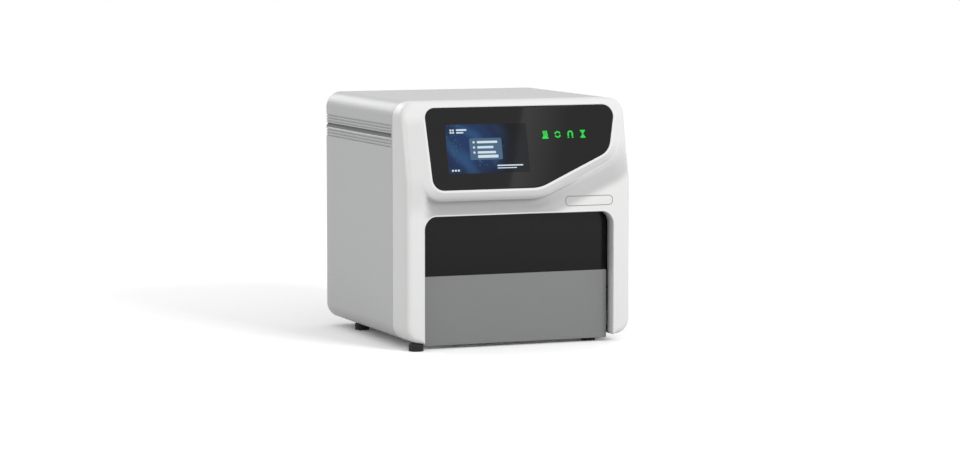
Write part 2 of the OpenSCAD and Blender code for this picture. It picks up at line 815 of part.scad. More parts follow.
module drawer_tray() {
    x = tray_w / 2;
    y1 = tray_y + tray_len;
    top = tray_z + tray_h;
    color(metal) {
        difference() {
            block([-x, tray_y, tray_z], [x, y1, top]);
            block([-x + tray_t, tray_y + tray_t, deck_z], [x - tray_t, y1 - tray_t, top + over]);
            block([-x + tray_t, y1 - tray_t - over, deck_z + 10], [x - tray_t, y1 + over, top + over]);
            for (i = [-3:3]) translate([i * 24, y1 - 14, tray_z - over])
                linear_extrude(tray_t + 2 * over) soft_square(14, 5, 2.4);
        }
        block([rack_x, tray_y, top - tray_t], [-x, y1, top]);
    }
}

module plate_deck() {
    color(black) difference() {
        block([-deck_w / 2, deck_y, deck_z], [deck_w / 2, deck_y + deck_len, deck_top]);
        for (x = pocket_xs) {
            block([x - pocket_w / 2, pocket_y - pocket_len / 2, deck_z - over],
                [x + pocket_w / 2, pocket_y + pocket_len / 2, deck_top + over]);
            for (s = [-1, 1]) translate([x, pocket_y + s * (pocket_len / 2), deck_top - 5])
                cylinder(d = 24, h = 5 + over);
        }
    }
}

module heater_blocks() {
    w = pocket_w - 2 * heater_gap;
    len = pocket_len - 2 * heater_gap;
    color(metal) for (x = pocket_xs) difference() {
        block([x - w / 2, pocket_y - len / 2, deck_z], [x + w / 2, pocket_y + len / 2, heater_z]);
        for (i = [0.5:well_rows / 2 - 1], s = [-1, 1])
            block([x + s * i * well_pitch - 2, pocket_y - len / 2 + 6, heater_z - 3],
                [x + s * i * well_pitch + 2, pocket_y + len / 2 - 6, heater_z + over]);
    }
}

// Rack profile: straight-sided teeth at 20 degrees, with the pitch line at v = 0
function rack_profile(n) = let (
    half = tooth_pitch / 4 - backlash / 4, tip = half - gear_module * tan(20),
    root = half + 1.2 * gear_module * tan(20))
    concat([[-tooth_pitch / 2, -rack_h]], [for (i = [0:n - 1], p = [[-root, -1.2], [-tip, 1],
        [tip, 1], [root, -1.2]]) [i * tooth_pitch + p[0], p[1] * gear_module]],
        [[(n - 0.5) * tooth_pitch, -rack_h]]);

rack_teeth = ceil((drawer_travel + 16) / tooth_pitch);

module drawer_rack() {
    start = pinion_y - 2.5 * tooth_pitch;
    color(white) translate([rack_x, start, pitch_z]) rotate([90, 0, 90]) linear_extrude(rack_w)
        polygon(rack_profile(rack_teeth));
}

// Involute flank of the pinion as [x, y], for a tooth centred on the x axis
function involute(rb, r) = let (t = sqrt(pow(r / rb, 2) - 1)) t * 180 / PI - atan(t);
function flank(s) = let (
    rb = pitch_r * cos(20), ra = pitch_r + gear_module,
    half = 90 / pinion_teeth - backlash / 4 / pitch_r * 180 / PI + involute(rb, pitch_r))
    [for (i = [0:4]) let (r = rb + (ra - rb) * (s > 0 ? 4 - i : i) / 4, a = half - involute(rb, r))
        r * [cos(a), s * sin(a)]];

module pinion_profile() {
    root = pitch_r - 1.25 * gear_module;
    half = 90 / pinion_teeth + 1;
    circle(root);
    for (i = [0:pinion_teeth - 1]) rotate(i * 360 / pinion_teeth)
        polygon(concat([(root - 1) * [cos(half), -sin(half)]], flank(-1), flank(1),
            [(root - 1) * [cos(half), sin(half)]]));
}

motor_x = -frame_w / 2 - flat_motor_len;

// The pinion's lowest tooth stands in the rack's gap at rest
module drive_pinion() {
    color(white) translate([rack_x + 0.5, pinion_y, pinion_z]) rotate([90, 0, 90]) {
        rotate(-90) linear_extrude(pinion_w) pinion_profile();
        translate([0, 0, -3]) cylinder(d = 13, h = 3);
    }
    color(metal) rod_x(5, pinion_y, pinion_z, motor_x + 8, rack_x + 0.5);
}

module drawer_motor() {
    color(dark_metal) difference() {
        union() {
            block([motor_x, pinion_y - motor_w / 2, pinion_z - motor_w / 2],
                [-frame_w / 2, pinion_y + motor_w / 2, pinion_z + motor_w / 2]);
            rod_x(22, pinion_y, pinion_z, -frame_w / 2, -frame_in - 0.5);
        }
        rod_x(5 + 2 * fit, pinion_y, pinion_z, motor_x + 8 - 0.3, -frame_in + over);
    }
}

// Channel with its web outside and its flanges towards the tray, in X and Z
module slide_channel(web, lip, half_h, y0, y1) {
    both_sides() difference() {
        block([lip, y0, slide_z - half_h], [web, y1, slide_z + half_h]);
        block([lip - over, y0 - over, slide_z - half_h + slide_t],
            [web - slide_t, y1 + over, slide_z + half_h - slide_t]);
    }
}

slide_z = tray_z + 16;
slide_in = tray_w / 2;

module slide_inner() {
    y1 = tray_y + tray_len;
    color(zinc) both_sides() difference() {
        block([slide_in, tray_y + 1, slide_z - 9], [slide_in + 9, y1, slide_z + 9]);
        block([slide_in + slide_t, tray_y, slide_z - 9 + slide_t],
            [slide_in + 9 + over, y1 + over, slide_z + 9 - slide_t]);
    }
}

module slide_middle() {
    color(zinc) slide_channel(opening_w / 2 - 3, slide_in + 3, 11, frame_y + 1, frame_y + 212);
}

module slide_fixed() {
    color(zinc) slide_channel(frame_in, slide_in + 8, 13, frame_y + 1, frame_y + slide_len);
}

// Processing head

gantry_end = gantry_y - gantry_travel - 21;    // front end of the gantry's screw

module gantry_rails() {
    color(zinc) both_sides() block([frame_in - rail_h, gantry_end - 9, y_rail_z - rail_w / 2],
        [frame_in, bulkhead_y, y_rail_z + rail_w / 2]);
    color(dark_metal) block([y_screw_x - 8, gantry_end - 12, y_screw_z - 10],
        [frame_in, gantry_end, y_screw_z + 10]);
}

module gantry_frame() {
    x = gantry_w / 2;
    nut_y = gantry_y + gantry_t;
    color(metal) difference() {
        union() {
            block([-x, gantry_y, gantry_low], [x, nut_y, gantry_high]);
            block([-x, screw_y - 24, gantry_high], [x, nut_y + 6, gantry_high + 5]);
            both_sides() block([x - 5, gantry_y - 18, y_rail_z - 16], [x, nut_y + 20, y_rail_z + 16]);
        }
        rod_y(screw_d + 4, y_screw_x, y_screw_z, gantry_y - over, nut_y + over);
        rod_z(screw_d + 4, 0, screw_y, gantry_high - over, gantry_high + 6);
        both_sides() for (z = [gantry_low + 40:44:gantry_high - 30])
            rod_y(22, x - 42, z, gantry_y - over, nut_y + over);
    }
    color(zinc) both_sides() difference() {
        block([x, gantry_y - 18, y_rail_z - 14], [x + 10, nut_y + 20, y_rail_z + 14]);
        block([frame_in - rail_h - rail_gap, gantry_y - 19, y_rail_z - rail_w / 2 - rail_gap],
            [x + 11, nut_y + 21, y_rail_z + rail_w / 2 + rail_gap]);
    }
    color(dark_metal) difference() {
        block([y_screw_x - 11, nut_y, y_screw_z - 11], [y_screw_x + 11, nut_y + 16, y_screw_z + 11]);
        rod_y(screw_d + 2 * fit, y_screw_x, y_screw_z, nut_y - over, nut_y + 17);
    }
}

module gantry_motor() {
    y0 = bulkhead_y + sheet_t;
    color(dark_metal) difference() {
        union() {
            block([y_screw_x - motor_w / 2, y0, y_screw_z - motor_w / 2],
                [y_screw_x + motor_w / 2, y0 + motor_len, y_screw_z + motor_w / 2]);
            rod_y(22, y_screw_x, y_screw_z, y0 - 1.5, y0);
        }
        rod_y(screw_d + 2 * fit, y_screw_x, y_screw_z, y0 - 3, y0 + 12.3);
    }
}

module gantry_screw() {
    color(metal) rod_y(screw_d, y_screw_x, y_screw_z, gantry_end, bulkhead_y + sheet_t + 12);
}

module lift_rails() {
    color(zinc) both_sides() block([rail_x - rail_w / 2, gantry_y - rail_h, gantry_low],
        [rail_x + rail_w / 2, gantry_y, gantry_high - 8]);
}

module lift_motor() {
    z0 = gantry_high + 5;
    color(dark_metal) difference() {
        block([-motor_w / 2, screw_y - motor_w / 2, z0],
            [motor_w / 2, screw_y + motor_w / 2, z0 + motor_len]);
        rod_z(screw_d + 2 * fit, 0, screw_y, z0 - over, z0 + 12.3);
    }
}

module lift_screw() {
    color(metal) rod_z(screw_d, 0, screw_y, gantry_low + 4, gantry_high + 17);
}

module lift_plate() {
    back = lift_y + lift_t;
    slot = gantry_y - rail_h - rail_gap;
    color(metal) {
        block([-lift_w / 2, lift_y, sleeve_top], [lift_w / 2, back, stage_z]);
        difference() {
            block([-62, rods_mid - 24, stage_z], [62, back, stage_z + 6]);
            rod_z(screw_d + 4, 0, rods_mid, stage_z - over, stage_z + 7);
        }
        for (x = [-46, 46]) along_x(4, x)
            polygon([[lift_y, sleeve_top], [lift_y, sleeve_top + 32], [lift_y - 36, sleeve_top]]);
        both_sides() along_x(4, 58) polygon([[lift_y, stage_z], [lift_y, stage_z - 30],
            [lift_y - 40, stage_z]]);
    }
    color(zinc) both_sides() for (z = [sleeve_top + block_rise, stage_z - 50]) difference() {
        block([rail_x - 13, back, z], [rail_x + 13, gantry_y - 1, z + 34]);
        block([rail_x - rail_w / 2 - rail_gap, slot, z - over],
            [rail_x + rail_w / 2 + rail_gap, gantry_y, z + 34 + over]);
    }
    color(dark_metal) difference() {
        block([-nut_w / 2, back, sleeve_top + 76], [nut_w / 2, gantry_y - 1, sleeve_top + 92]);
        rod_z(screw_d + 2 * fit, 0, screw_y, sleeve_top + 75, sleeve_top + 93);
    }
}

module at_rods() {
    for (x = pocket_xs, i = [0:well_rows - 1], y = [rods_front, rods_back])
        translate([x + (i - (well_rows - 1) / 2) * well_pitch, y, 0]) children();
}

module sleeve_frame() {
    color(black) difference() {
        block([-head_w / 2, head_front, sleeve_z], [head_w / 2, lift_y + lift_t, sleeve_top]);
        at_rods() translate([0, 0, sleeve_z - over]) cylinder(d = sleeve_hole_d, h = sleeve_t + 2 * over);
    }
    color(black) both_sides() block([head_w / 2 - 5, head_front, sleeve_top],
        [head_w / 2, lift_y - 4, sleeve_top + 8]);
}

module guide_shafts() {
    color(metal) both_sides() rod_z(shaft_d, 46, rods_mid, sleeve_top, stage_z);
}

module magnet_motor() {
    z0 = stage_z + 6;
    color(dark_metal) difference() {
        block([-motor_w / 2, rods_mid - motor_w / 2, z0],
            [motor_w / 2, rods_mid + motor_w / 2, z0 + motor_len]);
        rod_z(screw_d + 2 * fit, 0, rods_mid, z0 - over, z0 + 12.3);
    }
}

module magnet_screw() {
    color(metal) rod_z(screw_d, 0, rods_mid, carrier_z - magnet_travel - 14, stage_z + 18);
}

module magnet_carrier() {
    bush = 7;
    color(metal) difference() {
        union() {
            block([-head_w / 2 + 4, rods_front - 9, carrier_z],
                [head_w / 2 - 4, rods_back + 9, carrier_z + carrier_t]);
            both_sides() rod_z(shaft_d + 7, 46, rods_mid, carrier_z - bush, carrier_z + carrier_t + bush);
            rod_z(screw_d + 14, 0, rods_mid, carrier_z - bush, carrier_z + carrier_t + 3);
        }
        both_sides() rod_z(shaft_d + 2 * fit, 46, rods_mid, carrier_z - bush - over,
            carrier_z + carrier_t + bush + over);
        rod_z(screw_d + 2 * fit, 0, rods_mid, carrier_z - bush - over, carrier_z + carrier_t + 4);
    }
}

module magnet_rods() {
    color(metal) at_rods() {
        translate([0, 0, rod_tip + rod_d / 2]) cylinder(d = rod_d, h = rod_len - rod_d / 2);
        translate([0, 0, rod_tip + rod_d / 2]) sphere(d = rod_d);
    }
}

// Screws of the rear panel and of the fan, with heads in the recess
module housing_screws() {
    x = half_w - 24;
    color(zinc) for (p = [[-x, low_z + 40], [-x, top_z - 60], [x, low_z + 40], [x, top_z - 60],
        [-60, top_z - 14], [60, top_z - 14], [x, low_z + body_h / 2], [-x, low_z + body_h / 2]])
        rod_y(7, p[0], p[1], flange_y, flange_y + 2);
}

housing_cover();
front_bezel();
display_glass();
screen_module();
lamp_board();
view_window();
base_plate();
left_frame();
right_frame();
bulkhead();
rear_panel();
rubber_feet();
fan_frame();
fan_rotor();
fan_guard();
mains_inlet();
fuse_drawer();
switch_housing();
power_rocker();
data_ports();
power_supply();
main_board();
driver_board();
uv_lamp();
uv_lamp_holders();
drawer_front();
drawer_tray();
plate_deck();
heater_blocks();
drawer_rack();
slide_inner();
slide_middle();
slide_fixed();
drawer_motor();
drive_pinion();
gantry_rails();
gantry_frame();
gantry_motor();
gantry_screw();
lift_rails();
lift_motor();
lift_screw();
lift_plate();
sleeve_frame();
guide_shafts();
magnet_motor();
magnet_screw();
magnet_carrier();
magnet_rods();
housing_screws();
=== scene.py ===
import json
from math import atan2, cos, pi, radians, sin, tan
import bmesh
import bpy
import numpy as np
from mathutils import Matrix, Vector
from mathutils.geometry import delaunay_2d_cdt


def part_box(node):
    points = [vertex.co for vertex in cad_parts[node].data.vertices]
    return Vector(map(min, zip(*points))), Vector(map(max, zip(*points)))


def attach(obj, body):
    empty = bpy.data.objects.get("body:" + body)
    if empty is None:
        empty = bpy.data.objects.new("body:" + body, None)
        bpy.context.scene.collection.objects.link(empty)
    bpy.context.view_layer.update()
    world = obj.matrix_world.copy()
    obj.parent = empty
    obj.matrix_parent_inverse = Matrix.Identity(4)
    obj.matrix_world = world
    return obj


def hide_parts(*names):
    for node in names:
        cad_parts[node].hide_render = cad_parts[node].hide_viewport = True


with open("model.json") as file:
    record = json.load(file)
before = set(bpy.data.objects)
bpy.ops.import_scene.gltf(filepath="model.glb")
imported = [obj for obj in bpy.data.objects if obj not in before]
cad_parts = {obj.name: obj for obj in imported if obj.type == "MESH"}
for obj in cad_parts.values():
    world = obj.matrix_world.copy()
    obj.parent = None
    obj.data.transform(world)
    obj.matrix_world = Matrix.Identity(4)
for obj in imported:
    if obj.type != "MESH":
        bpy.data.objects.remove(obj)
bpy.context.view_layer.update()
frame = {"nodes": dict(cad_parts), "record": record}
nodes = frame["nodes"]
bodyOf = {n: b for b, names in frame["record"]["behaviour"]["bodies"].items() for n in names}
slotOf = {s["node"]: s["material_slot"] for s in frame["record"]["subparts"]}
mm = 0.001
scene = bpy.context.scene
print("frame loaded:", len(nodes), "nodes")


# nodes of materials and geometry; inputs are values, sockets or lists of sockets
def addNode(tree, kind, inputs=None, **settings):
    node = tree.nodes.new(kind)
    for key, value in settings.items():
        setattr(node, key, value)
    for key, value in (inputs or {}).items():
        for part in value if isinstance(value, list) else [value]:
            if isinstance(part, bpy.types.NodeSocket):
                tree.links.new(part, node.inputs[key])
            else:
                node.inputs[key].default_value = part
    return node.outputs


def mathNode(tree, operation, *values):
    return addNode(tree, "ShaderNodeMath", dict(enumerate(values)), operation=operation)[0]


def ranged(tree, value, low=0.0, high=1.0, toLow=0.0, toHigh=1.0, **settings):
    spans = {"Value": value, "From Min": low, "From Max": high, "To Min": toLow, "To Max": toHigh}
    return addNode(tree, "ShaderNodeMapRange", spans, **settings)[0]


def mixed(tree, share, first, second):
    return addNode(tree, "ShaderNodeMix", {0: share, 6: first, 7: second}, data_type="RGBA")[2]


def socketKind(value):
    # type of socket that holds a value; a word names a type that has none
    if isinstance(value, str):
        return value
    if isinstance(value, tuple):
        return "Vector" if len(value) == 3 else "Color"
    return "Int" if isinstance(value, int) else "Float"


def newGroup(kind, name, inputs, outputs):
    group = bpy.data.node_groups.new(name, kind)
    for way, sockets in (("INPUT", inputs), ("OUTPUT", outputs)):
        for label, value in sockets.items():
            kindName = "NodeSocket" + socketKind(value)
            socket = group.interface.new_socket(label, in_out=way, socket_type=kindName)
            if not isinstance(value, str):
                socket.default_value = value
    return group, group.nodes.new("NodeGroupInput").outputs, group.nodes.new("NodeGroupOutput").inputs


def grainGroup():
    # fine pores of a moulded or painted skin, with slow blotches beside them
    group, given, out = newGroup("ShaderNodeTree", "mouldGrain", {"Scale": 900.0, "Stretch": (1, 1, 1)},
                                 {"Height": "Float", "Blotch": "Float"})
    place = addNode(group, "ShaderNodeTexCoord")["Object"]
    place = addNode(group, "ShaderNodeVectorMath", {0: place, 1: given["Stretch"]}, operation="MULTIPLY")[0]
    for label, scale, detail in (("Height", given["Scale"], 3.0), ("Blotch", 14.0, 4.0)):
        noise = addNode(group, "ShaderNodeTexNoise", {"Vector": place, "Scale": scale, "Detail": detail})
        group.links.new(noise["Fac"], out[label])
    return group


def driftGroup():
    # a colour that wanders a little lighter and darker
    given = {"Color": (1, 1, 1, 1), "Fac": 0.5, "Amount": 0.04}
    group, given, out = newGroup("ShaderNodeTree", "toneDrift", given, {"Color": "Color"})
    away = mathNode(group, "SUBTRACT", given["Fac"], 0.5)
    value = mathNode(group, "MULTIPLY_ADD", away, given["Amount"], 1.0)
    tinted = addNode(group, "ShaderNodeHueSaturation", {"Color": given["Color"], "Value": value})
    group.links.new(tinted["Color"], out["Color"])
    return group


def dustGroup():
    # a thin film of dust on what faces up
    given = {"Color": (1, 1, 1, 1), "Amount": 0.1, "Fac": 0.5}
    group, given, out = newGroup("ShaderNodeTree", "dustFilm", given, {"Color": "Color"})
    normal = addNode(group, "ShaderNodeTexCoord")["Normal"]
    up = ranged(group, addNode(group, "ShaderNodeSeparateXYZ", {0: normal})["Z"], 0.6, 1.0)
    amount = mathNode(group, "MULTIPLY", mathNode(group, "MULTIPLY", up, given["Fac"]), given["Amount"])
    group.links.new(mixed(group, amount, given["Color"], (0.62, 0.60, 0.56, 1)), out["Color"])
    return group


grain, drift, dust = grainGroup(), driftGroup(), dustGroup()


# materials
def newMaterial(name):
    material = bpy.data.materials.new(name)
    material.use_nodes = True
    return material, material.node_tree, material.node_tree.nodes["Principled BSDF"].inputs


def setValues(sockets, values):
    for label, value in values.items():
        sockets[label].default_value = value


def useGroup(tree, group, **inputs):
    return addNode(tree, "ShaderNodeGroup", inputs, node_tree=group)


def finishOf(name, color, rough, metal=0.0, scale=900.0, stretch=(1, 1, 1), bump=0.05, swing=0.04,
             roughSwing=0.05, dusty=0.0, specular=0.5):
    # opaque finish with fine grain, a tone and a gloss that vary a little, and dust if it asks for it
    material, tree, shader = newMaterial(name)
    pores = useGroup(tree, grain, Scale=scale, Stretch=stretch)
    tone = useGroup(tree, drift, Color=(*color, 1), Fac=pores["Blotch"], Amount=swing)["Color"]
    if dusty:
        tone = useGroup(tree, dust, Color=tone, Amount=dusty, Fac=pores["Blotch"])["Color"]
    gloss = ranged(tree, pores["Height"], toLow=rough - roughSwing, toHigh=rough + roughSwing)
    bumps = {"Height": pores["Height"], "Strength": bump, "Distance": 0.0002}
    relief = addNode(tree, "ShaderNodeBump", bumps)["Normal"]
    for label, source in (("Base Color", tone), ("Roughness", gloss), ("Normal", relief)):
        tree.links.new(source, shader[label])
    setValues(shader, {"Metallic": metal, "Specular IOR Level": specular})
    return material


def bezelPaintedShadeFinish(*plan, **more):
    # satin white lacquer with painted shade: mixed toward a deep grey as far as the painted-shade attribute
    # says
    material = finishOf(*plan, **more)
    tree = material.node_tree
    base = tree.nodes["Principled BSDF"].inputs["Base Color"]
    field = addNode(tree, "ShaderNodeAttribute", attribute_name="underBrow")["Fac"]
    # deep grey of the painted shade under the brow and in the reveal
    tree.links.new(mixed(tree, field, base.links[0].from_socket, (0.10, 0.10, 0.105, 1)), base)
    return material


def glowOf(name, color, strength, swing):
    # lit surface behind glass: a glow over black, a little uneven
    material, tree, shader = newMaterial(name)
    pores = useGroup(tree, grain, Scale=400.0)
    tone = useGroup(tree, drift, Color=(*color, 1), Fac=pores["Blotch"], Amount=swing)["Color"]
    tree.links.new(tone, shader["Emission Color"])
    setValues(shader, {"Emission Strength": strength, "Base Color": (0.004, 0.004, 0.004, 1),
                       "Roughness": 0.06, "Specular IOR Level": 0.3})
    return material


screenLook = {"middle": (-0.088, 0.0, 0.352), "fade": (0.022, 0.084),
              "blue": (0.006, 0.030, 0.105, 1), "black": (0.0008, 0.0016, 0.004, 1),
              "band": (0.025, 0.095, 0.22, 1), "speck": (0.22, 0.36, 0.5, 1)}


def screenFinish(name):
    # deep blue that fades to black away from its middle, with slow bands and fine specks
    material, tree, shader = newMaterial(name)
    place = addNode(tree, "ShaderNodeTexCoord")["Object"]
    parts = addNode(tree, "ShaderNodeSeparateXYZ", {0: place})
    flat = addNode(tree, "ShaderNodeCombineXYZ", {"X": parts["X"], "Z": parts["Z"]})[0]
    away = addNode(tree, "ShaderNodeVectorMath", {0: flat, 1: screenLook["middle"]}, operation="DISTANCE")
    dim = ranged(tree, away["Value"], *screenLook["fade"], interpolation_type="SMOOTHSTEP")
    near = mathNode(tree, "SUBTRACT", 1.0, dim)
    wave = addNode(tree, "ShaderNodeTexWave",
                   {"Vector": place, "Scale": 9.0, "Distortion": 5.0, "Detail": 2.0, "Detail Scale": 1.4},
                   wave_type="BANDS", bands_direction="DIAGONAL")
    bands = mathNode(tree, "MULTIPLY", ranged(tree, wave["Fac"], 0.35, toHigh=0.55), near)
    lit = mixed(tree, bands, mixed(tree, dim, screenLook["blue"], screenLook["black"]), screenLook["band"])
    cells = addNode(tree, "ShaderNodeTexVoronoi", {"Vector": place, "Scale": 260.0})
    dots = ranged(tree, cells["Distance"], 0.05, 0.22, 0.9, 0.0)
    where = addNode(tree, "ShaderNodeTexNoise", {"Vector": place, "Scale": 45.0})
    some = mathNode(tree, "MULTIPLY", dots, ranged(tree, where["Fac"], 0.5, 0.62))
    specked = mixed(tree, mathNode(tree, "MULTIPLY", some, near), lit, screenLook["speck"])
    tree.links.new(specked, shader["Emission Color"])
    setValues(shader, {"Emission Strength": 1.0, "Base Color": (0.003, 0.003, 0.003, 1),
                       "Roughness": 0.04, "Specular IOR Level": 0.2})
    return material


# colour, roughness, and what differs from the usual
finishPlan = {
    "coverPaint": ((0.61, 0.615, 0.615), 0.36,
                   {"bump": 0.08, "swing": 0.02, "roughSwing": 0.02, "specular": 0.2}),
    "rimWhite": ((0.90, 0.90, 0.90), 0.25, {"bump": 0.0, "swing": 0.0}),
    "displayBlack": ((0.004, 0.004, 0.004), 0.03,
                     {"bump": 0.0, "swing": 0.02, "roughSwing": 0.005, "specular": 0.3}),
    "tintedWindow": ((0.006, 0.006, 0.006), 0.12,
                     {"bump": 0.0, "swing": 0.02, "roughSwing": 0.01, "specular": 0.13}),
    "drawerGrey": ((0.235, 0.237, 0.238), 0.48, {"bump": 0.06, "swing": 0.02}),
    "frameAluminium": ((0.70, 0.71, 0.73), 0.34,
                       {"metal": 1.0, "scale": 500.0, "stretch": (0.05, 1, 1), "bump": 0.06,
                        "roughSwing": 0.10}),
    "zincSheet": ((0.60, 0.62, 0.64), 0.36,
                  {"metal": 1.0, "scale": 120.0, "bump": 0.03, "swing": 0.25, "roughSwing": 0.12,
                   "dusty": 0.1}),
    "blackPlastic": ((0.022, 0.022, 0.023), 0.5, {"bump": 0.12, "dusty": 0.02}),
    "motorBlack": ((0.035, 0.036, 0.04), 0.42, {"bump": 0.08, "swing": 0.1, "dusty": 0.04}),
    "boardGreen": ((0.015, 0.10, 0.04), 0.35, {"scale": 300.0, "swing": 0.3}),
    "whitePlastic": ((0.80, 0.80, 0.77), 0.45, {}),
    "footRubber": ((0.016, 0.016, 0.016), 0.8, {"scale": 1500.0, "bump": 0.2, "dusty": 0.05}),
    "groundShaft": ((0.76, 0.77, 0.78), 0.16,
                    {"metal": 1.0, "stretch": (1, 1, 0.02), "bump": 0.02, "roughSwing": 0.04}),
    "blackAnodised": ((0.03, 0.03, 0.033), 0.4, {"metal": 0.6, "bump": 0.1, "dusty": 0.05}),
    "lampGlass": ((0.85, 0.87, 0.90), 0.12, {"bump": 0.0}),
    "rearPaint": ((0.685, 0.69, 0.69), 0.5, {"bump": 0.1, "swing": 0.02}),
    "screwSteel": ((0.55, 0.56, 0.57), 0.3, {"metal": 1.0, "scale": 700.0, "bump": 0.04, "swing": 0.1}),
    "chipBlack": ((0.02, 0.02, 0.021), 0.45, {"scale": 600.0, "bump": 0.08, "swing": 0.5}),
    # painted shade for the dark strips in the wide grooves
    "grooveShade": ((0.15, 0.15, 0.15), 0.6, {"bump": 0.1, "specular": 0.2}),
    "castAluminium": ((0.62, 0.63, 0.64), 0.45, {"metal": 1.0, "scale": 300.0, "bump": 0.06}),
    "contactGold": ((0.85, 0.62, 0.25), 0.25, {"metal": 1.0, "bump": 0.02, "swing": 0.1}),
    "badgeGrey": ((0.22, 0.22, 0.22), 0.4, {"bump": 0.0}),
}
finishes = {name: finishOf(name, color, rough, **more) for name, (color, rough, more) in finishPlan.items()}
# bezel lacquer, darkened by painted shade where the front is toned
finishes["bezelPaint"] = bezelPaintedShadeFinish("bezelPaint", (0.87, 0.87, 0.865), 0.42, bump=0.03, swing=0.015)
glowPlan = {"lampGreen": ((0.0, 0.78, 0.045), 0.95, 0.1), "screenWhite": ((0.62, 0.72, 0.80), 1.0, 0.1),
            "screenPanel": ((0.05, 0.115, 0.205), 1.0, 0.4)}
finishes.update({name: glowOf(name, *plan) for name, plan in glowPlan.items()})
finishes["screenBlue"] = screenFinish("screenBlue")
finishOfSlot = {
    "cover": "coverPaint", "bezel": "bezelPaint", "display": "displayBlack", "window": "tintedWindow",
    "drawer_grey": "drawerGrey", "frame_metal": "frameAluminium", "zinc": "zincSheet",
    "dark_plastic": "blackPlastic", "motor": "motorBlack", "board": "boardGreen",
    "white_plastic": "whitePlastic", "rubber": "footRubber", "shaft": "groundShaft",
    "anodised": "blackAnodised", "lamp": "lampGlass", "rear_paint": "rearPaint",
}
for name, node in nodes.items():
    node.data.materials.clear()
    node.data.materials.append(finishes[finishOfSlot[slotOf[name]]])
print("materials made:", len(finishes))

# shapes in mm, as in the part's own source
body = {"w": 424, "d": 430, "h": 415, "foot": 14, "edge": 28}
topZ = body["foot"] + body["h"]
tipY, rearY = -body["d"] / 2, body["d"] / 2
faceY = tipY + 7.5
seamY = faceY + 66
pod = {"lean": radians(14), "browZ": body["foot"] + 250, "rim": 14.0, "glassT": 2.5}
opening = {"w": 353, "z": body["foot"] + 218, "r": 22, "back": faceY + 26.4}
# the display glass in the pod's plane: corners, their radii and how each corner moves as the outline grows
glass = {"corners": ((-167, 158.6), (-161.5, 14.2), (36, 14.2), (172.3, 75.2), (191.5, 158.6)),
         "radii": (18, 20, 70, 35, 20), "gap": 0.3,
         "moves": ((-1, 1), (-1, -1), (0.25, -1), (1, -0.5), (1, 1))}


def unit(rows):
    return rows / np.linalg.norm(rows, axis=1)[:, None]


def asideOf(path):
    # unit direction to the right of a path in x and z
    run = unit(np.gradient(path, axis=0))
    return np.column_stack([run[:, 1], -run[:, 0]])


def smooth(x, low, high):
    t = np.clip((x - low) / (high - low), 0, 1)
    return t * t * (3 - 2 * t)


def roundedLoop(points, radii, steps=8):
    loop = []
    for i, (corner, r) in enumerate(zip(points, radii)):
        p = np.array(corner, float)
        if r <= 0:
            loop.append(p)
            continue
        u = np.array(points[i - 1], float) - p
        w = np.array(points[(i + 1) % len(points)], float) - p
        u, w = u / np.linalg.norm(u), w / np.linalg.norm(w)
        halfAngle = np.arccos(np.clip(u @ w, -1, 1)) / 2
        centre = p + (u + w) / np.linalg.norm(u + w) * r / sin(halfAngle)
        a, b = (p + side * r / tan(halfAngle) - centre for side in (u, w))
        start = atan2(a[1], a[0])
        turn = (atan2(b[1], b[0]) - start + 3 * pi) % (2 * pi) - pi
        for k in range(steps + 1):
            angle = start + turn * k / steps
            loop.append(centre + r * np.array([cos(angle), sin(angle)]))
    return np.array(loop)


def plate(x0, y0, x1, y1, r=0.5, steps=4):
    return roundedLoop([(x0, y0), (x1, y0), (x1, y1), (x0, y1)], [r] * 4, steps)


def resampled(loop, pitch=1.0, closed=True, count=None):
    # evenly spaced points, about a pitch apart or as many as count says
    ends = np.vstack([loop, loop[:1]]) if closed else loop
    run = np.concatenate([[0], np.cumsum(np.linalg.norm(np.diff(ends, axis=0), axis=1))])
    count = count or max(3, int(round(run[-1] / pitch)))
    at = np.linspace(0, run[-1], count, endpoint=False) if closed else np.linspace(0, run[-1], count + 1)
    return np.column_stack([np.interp(at, run, column) for column in ends.T])


def glassLoop(g=0.0, steps=16):
    # outline of the display glass, grown by g
    corners = [(u + g * du, v + g * dv) for (u, v), (du, dv) in zip(glass["corners"], glass["moves"])]
    return roundedLoop(corners, [r + g for r in glass["radii"]], steps)


def podPoint(u, v, out=0.0):
    # pod plane to the part's frame; out stands off the plane
    return (u, tipY + v * sin(pod["lean"]) - out * cos(pod["lean"]),
            pod["browZ"] + v * cos(pod["lean"]) + out * sin(pod["lean"]))


def inPod(points):
    # x and z of the front to the pod's plane
    return np.column_stack([points[:, 0], (points[:, 1] - pod["browZ"]) / cos(pod["lean"])])


def fromPod(loop):
    return np.array([[u, podPoint(u, v)[2]] for u, v in loop])


podEdge = resampled(glassLoop(pod["rim"], 24), 1.0)


def insideLoop(points, loop):
    x, z = points[:, 0], points[:, 1]
    inside = np.zeros(len(points), bool)
    for (ax, az), (bx, bz) in zip(loop, np.roll(loop, -1, axis=0)):
        if az != bz:
            inside ^= ((az > z) != (bz > z)) & (x < (bx - ax) * (z - az) / (bz - az) + ax)
    return inside


def toEdge(points, loop, chunk=4000, close=4):
    # distance to the loop, above 0 outside, and the loop's outward direction there
    outward = unit(np.roll(loop, -1, axis=0) - np.roll(loop, 1, axis=0))
    outward = np.column_stack([outward[:, 1], -outward[:, 0]])
    if (outward * (loop - loop.mean(0))).sum() < 0:
        outward = -outward
    apart, away = [], []
    for start in range(0, len(points), chunk):
        gap = points[start:start + chunk, None, :] - loop[None, :, :]
        far = np.linalg.norm(gap, axis=2)
        near = far.argmin(1)
        rows = np.arange(len(near))
        signed = (gap[rows, near] * outward[near]).sum(1)
        least = far[rows, near]
        apart.append(np.where(least > close, np.sign(signed) * least, signed))
        away.append(outward[near])
    return np.concatenate(apart), np.vstack(away)
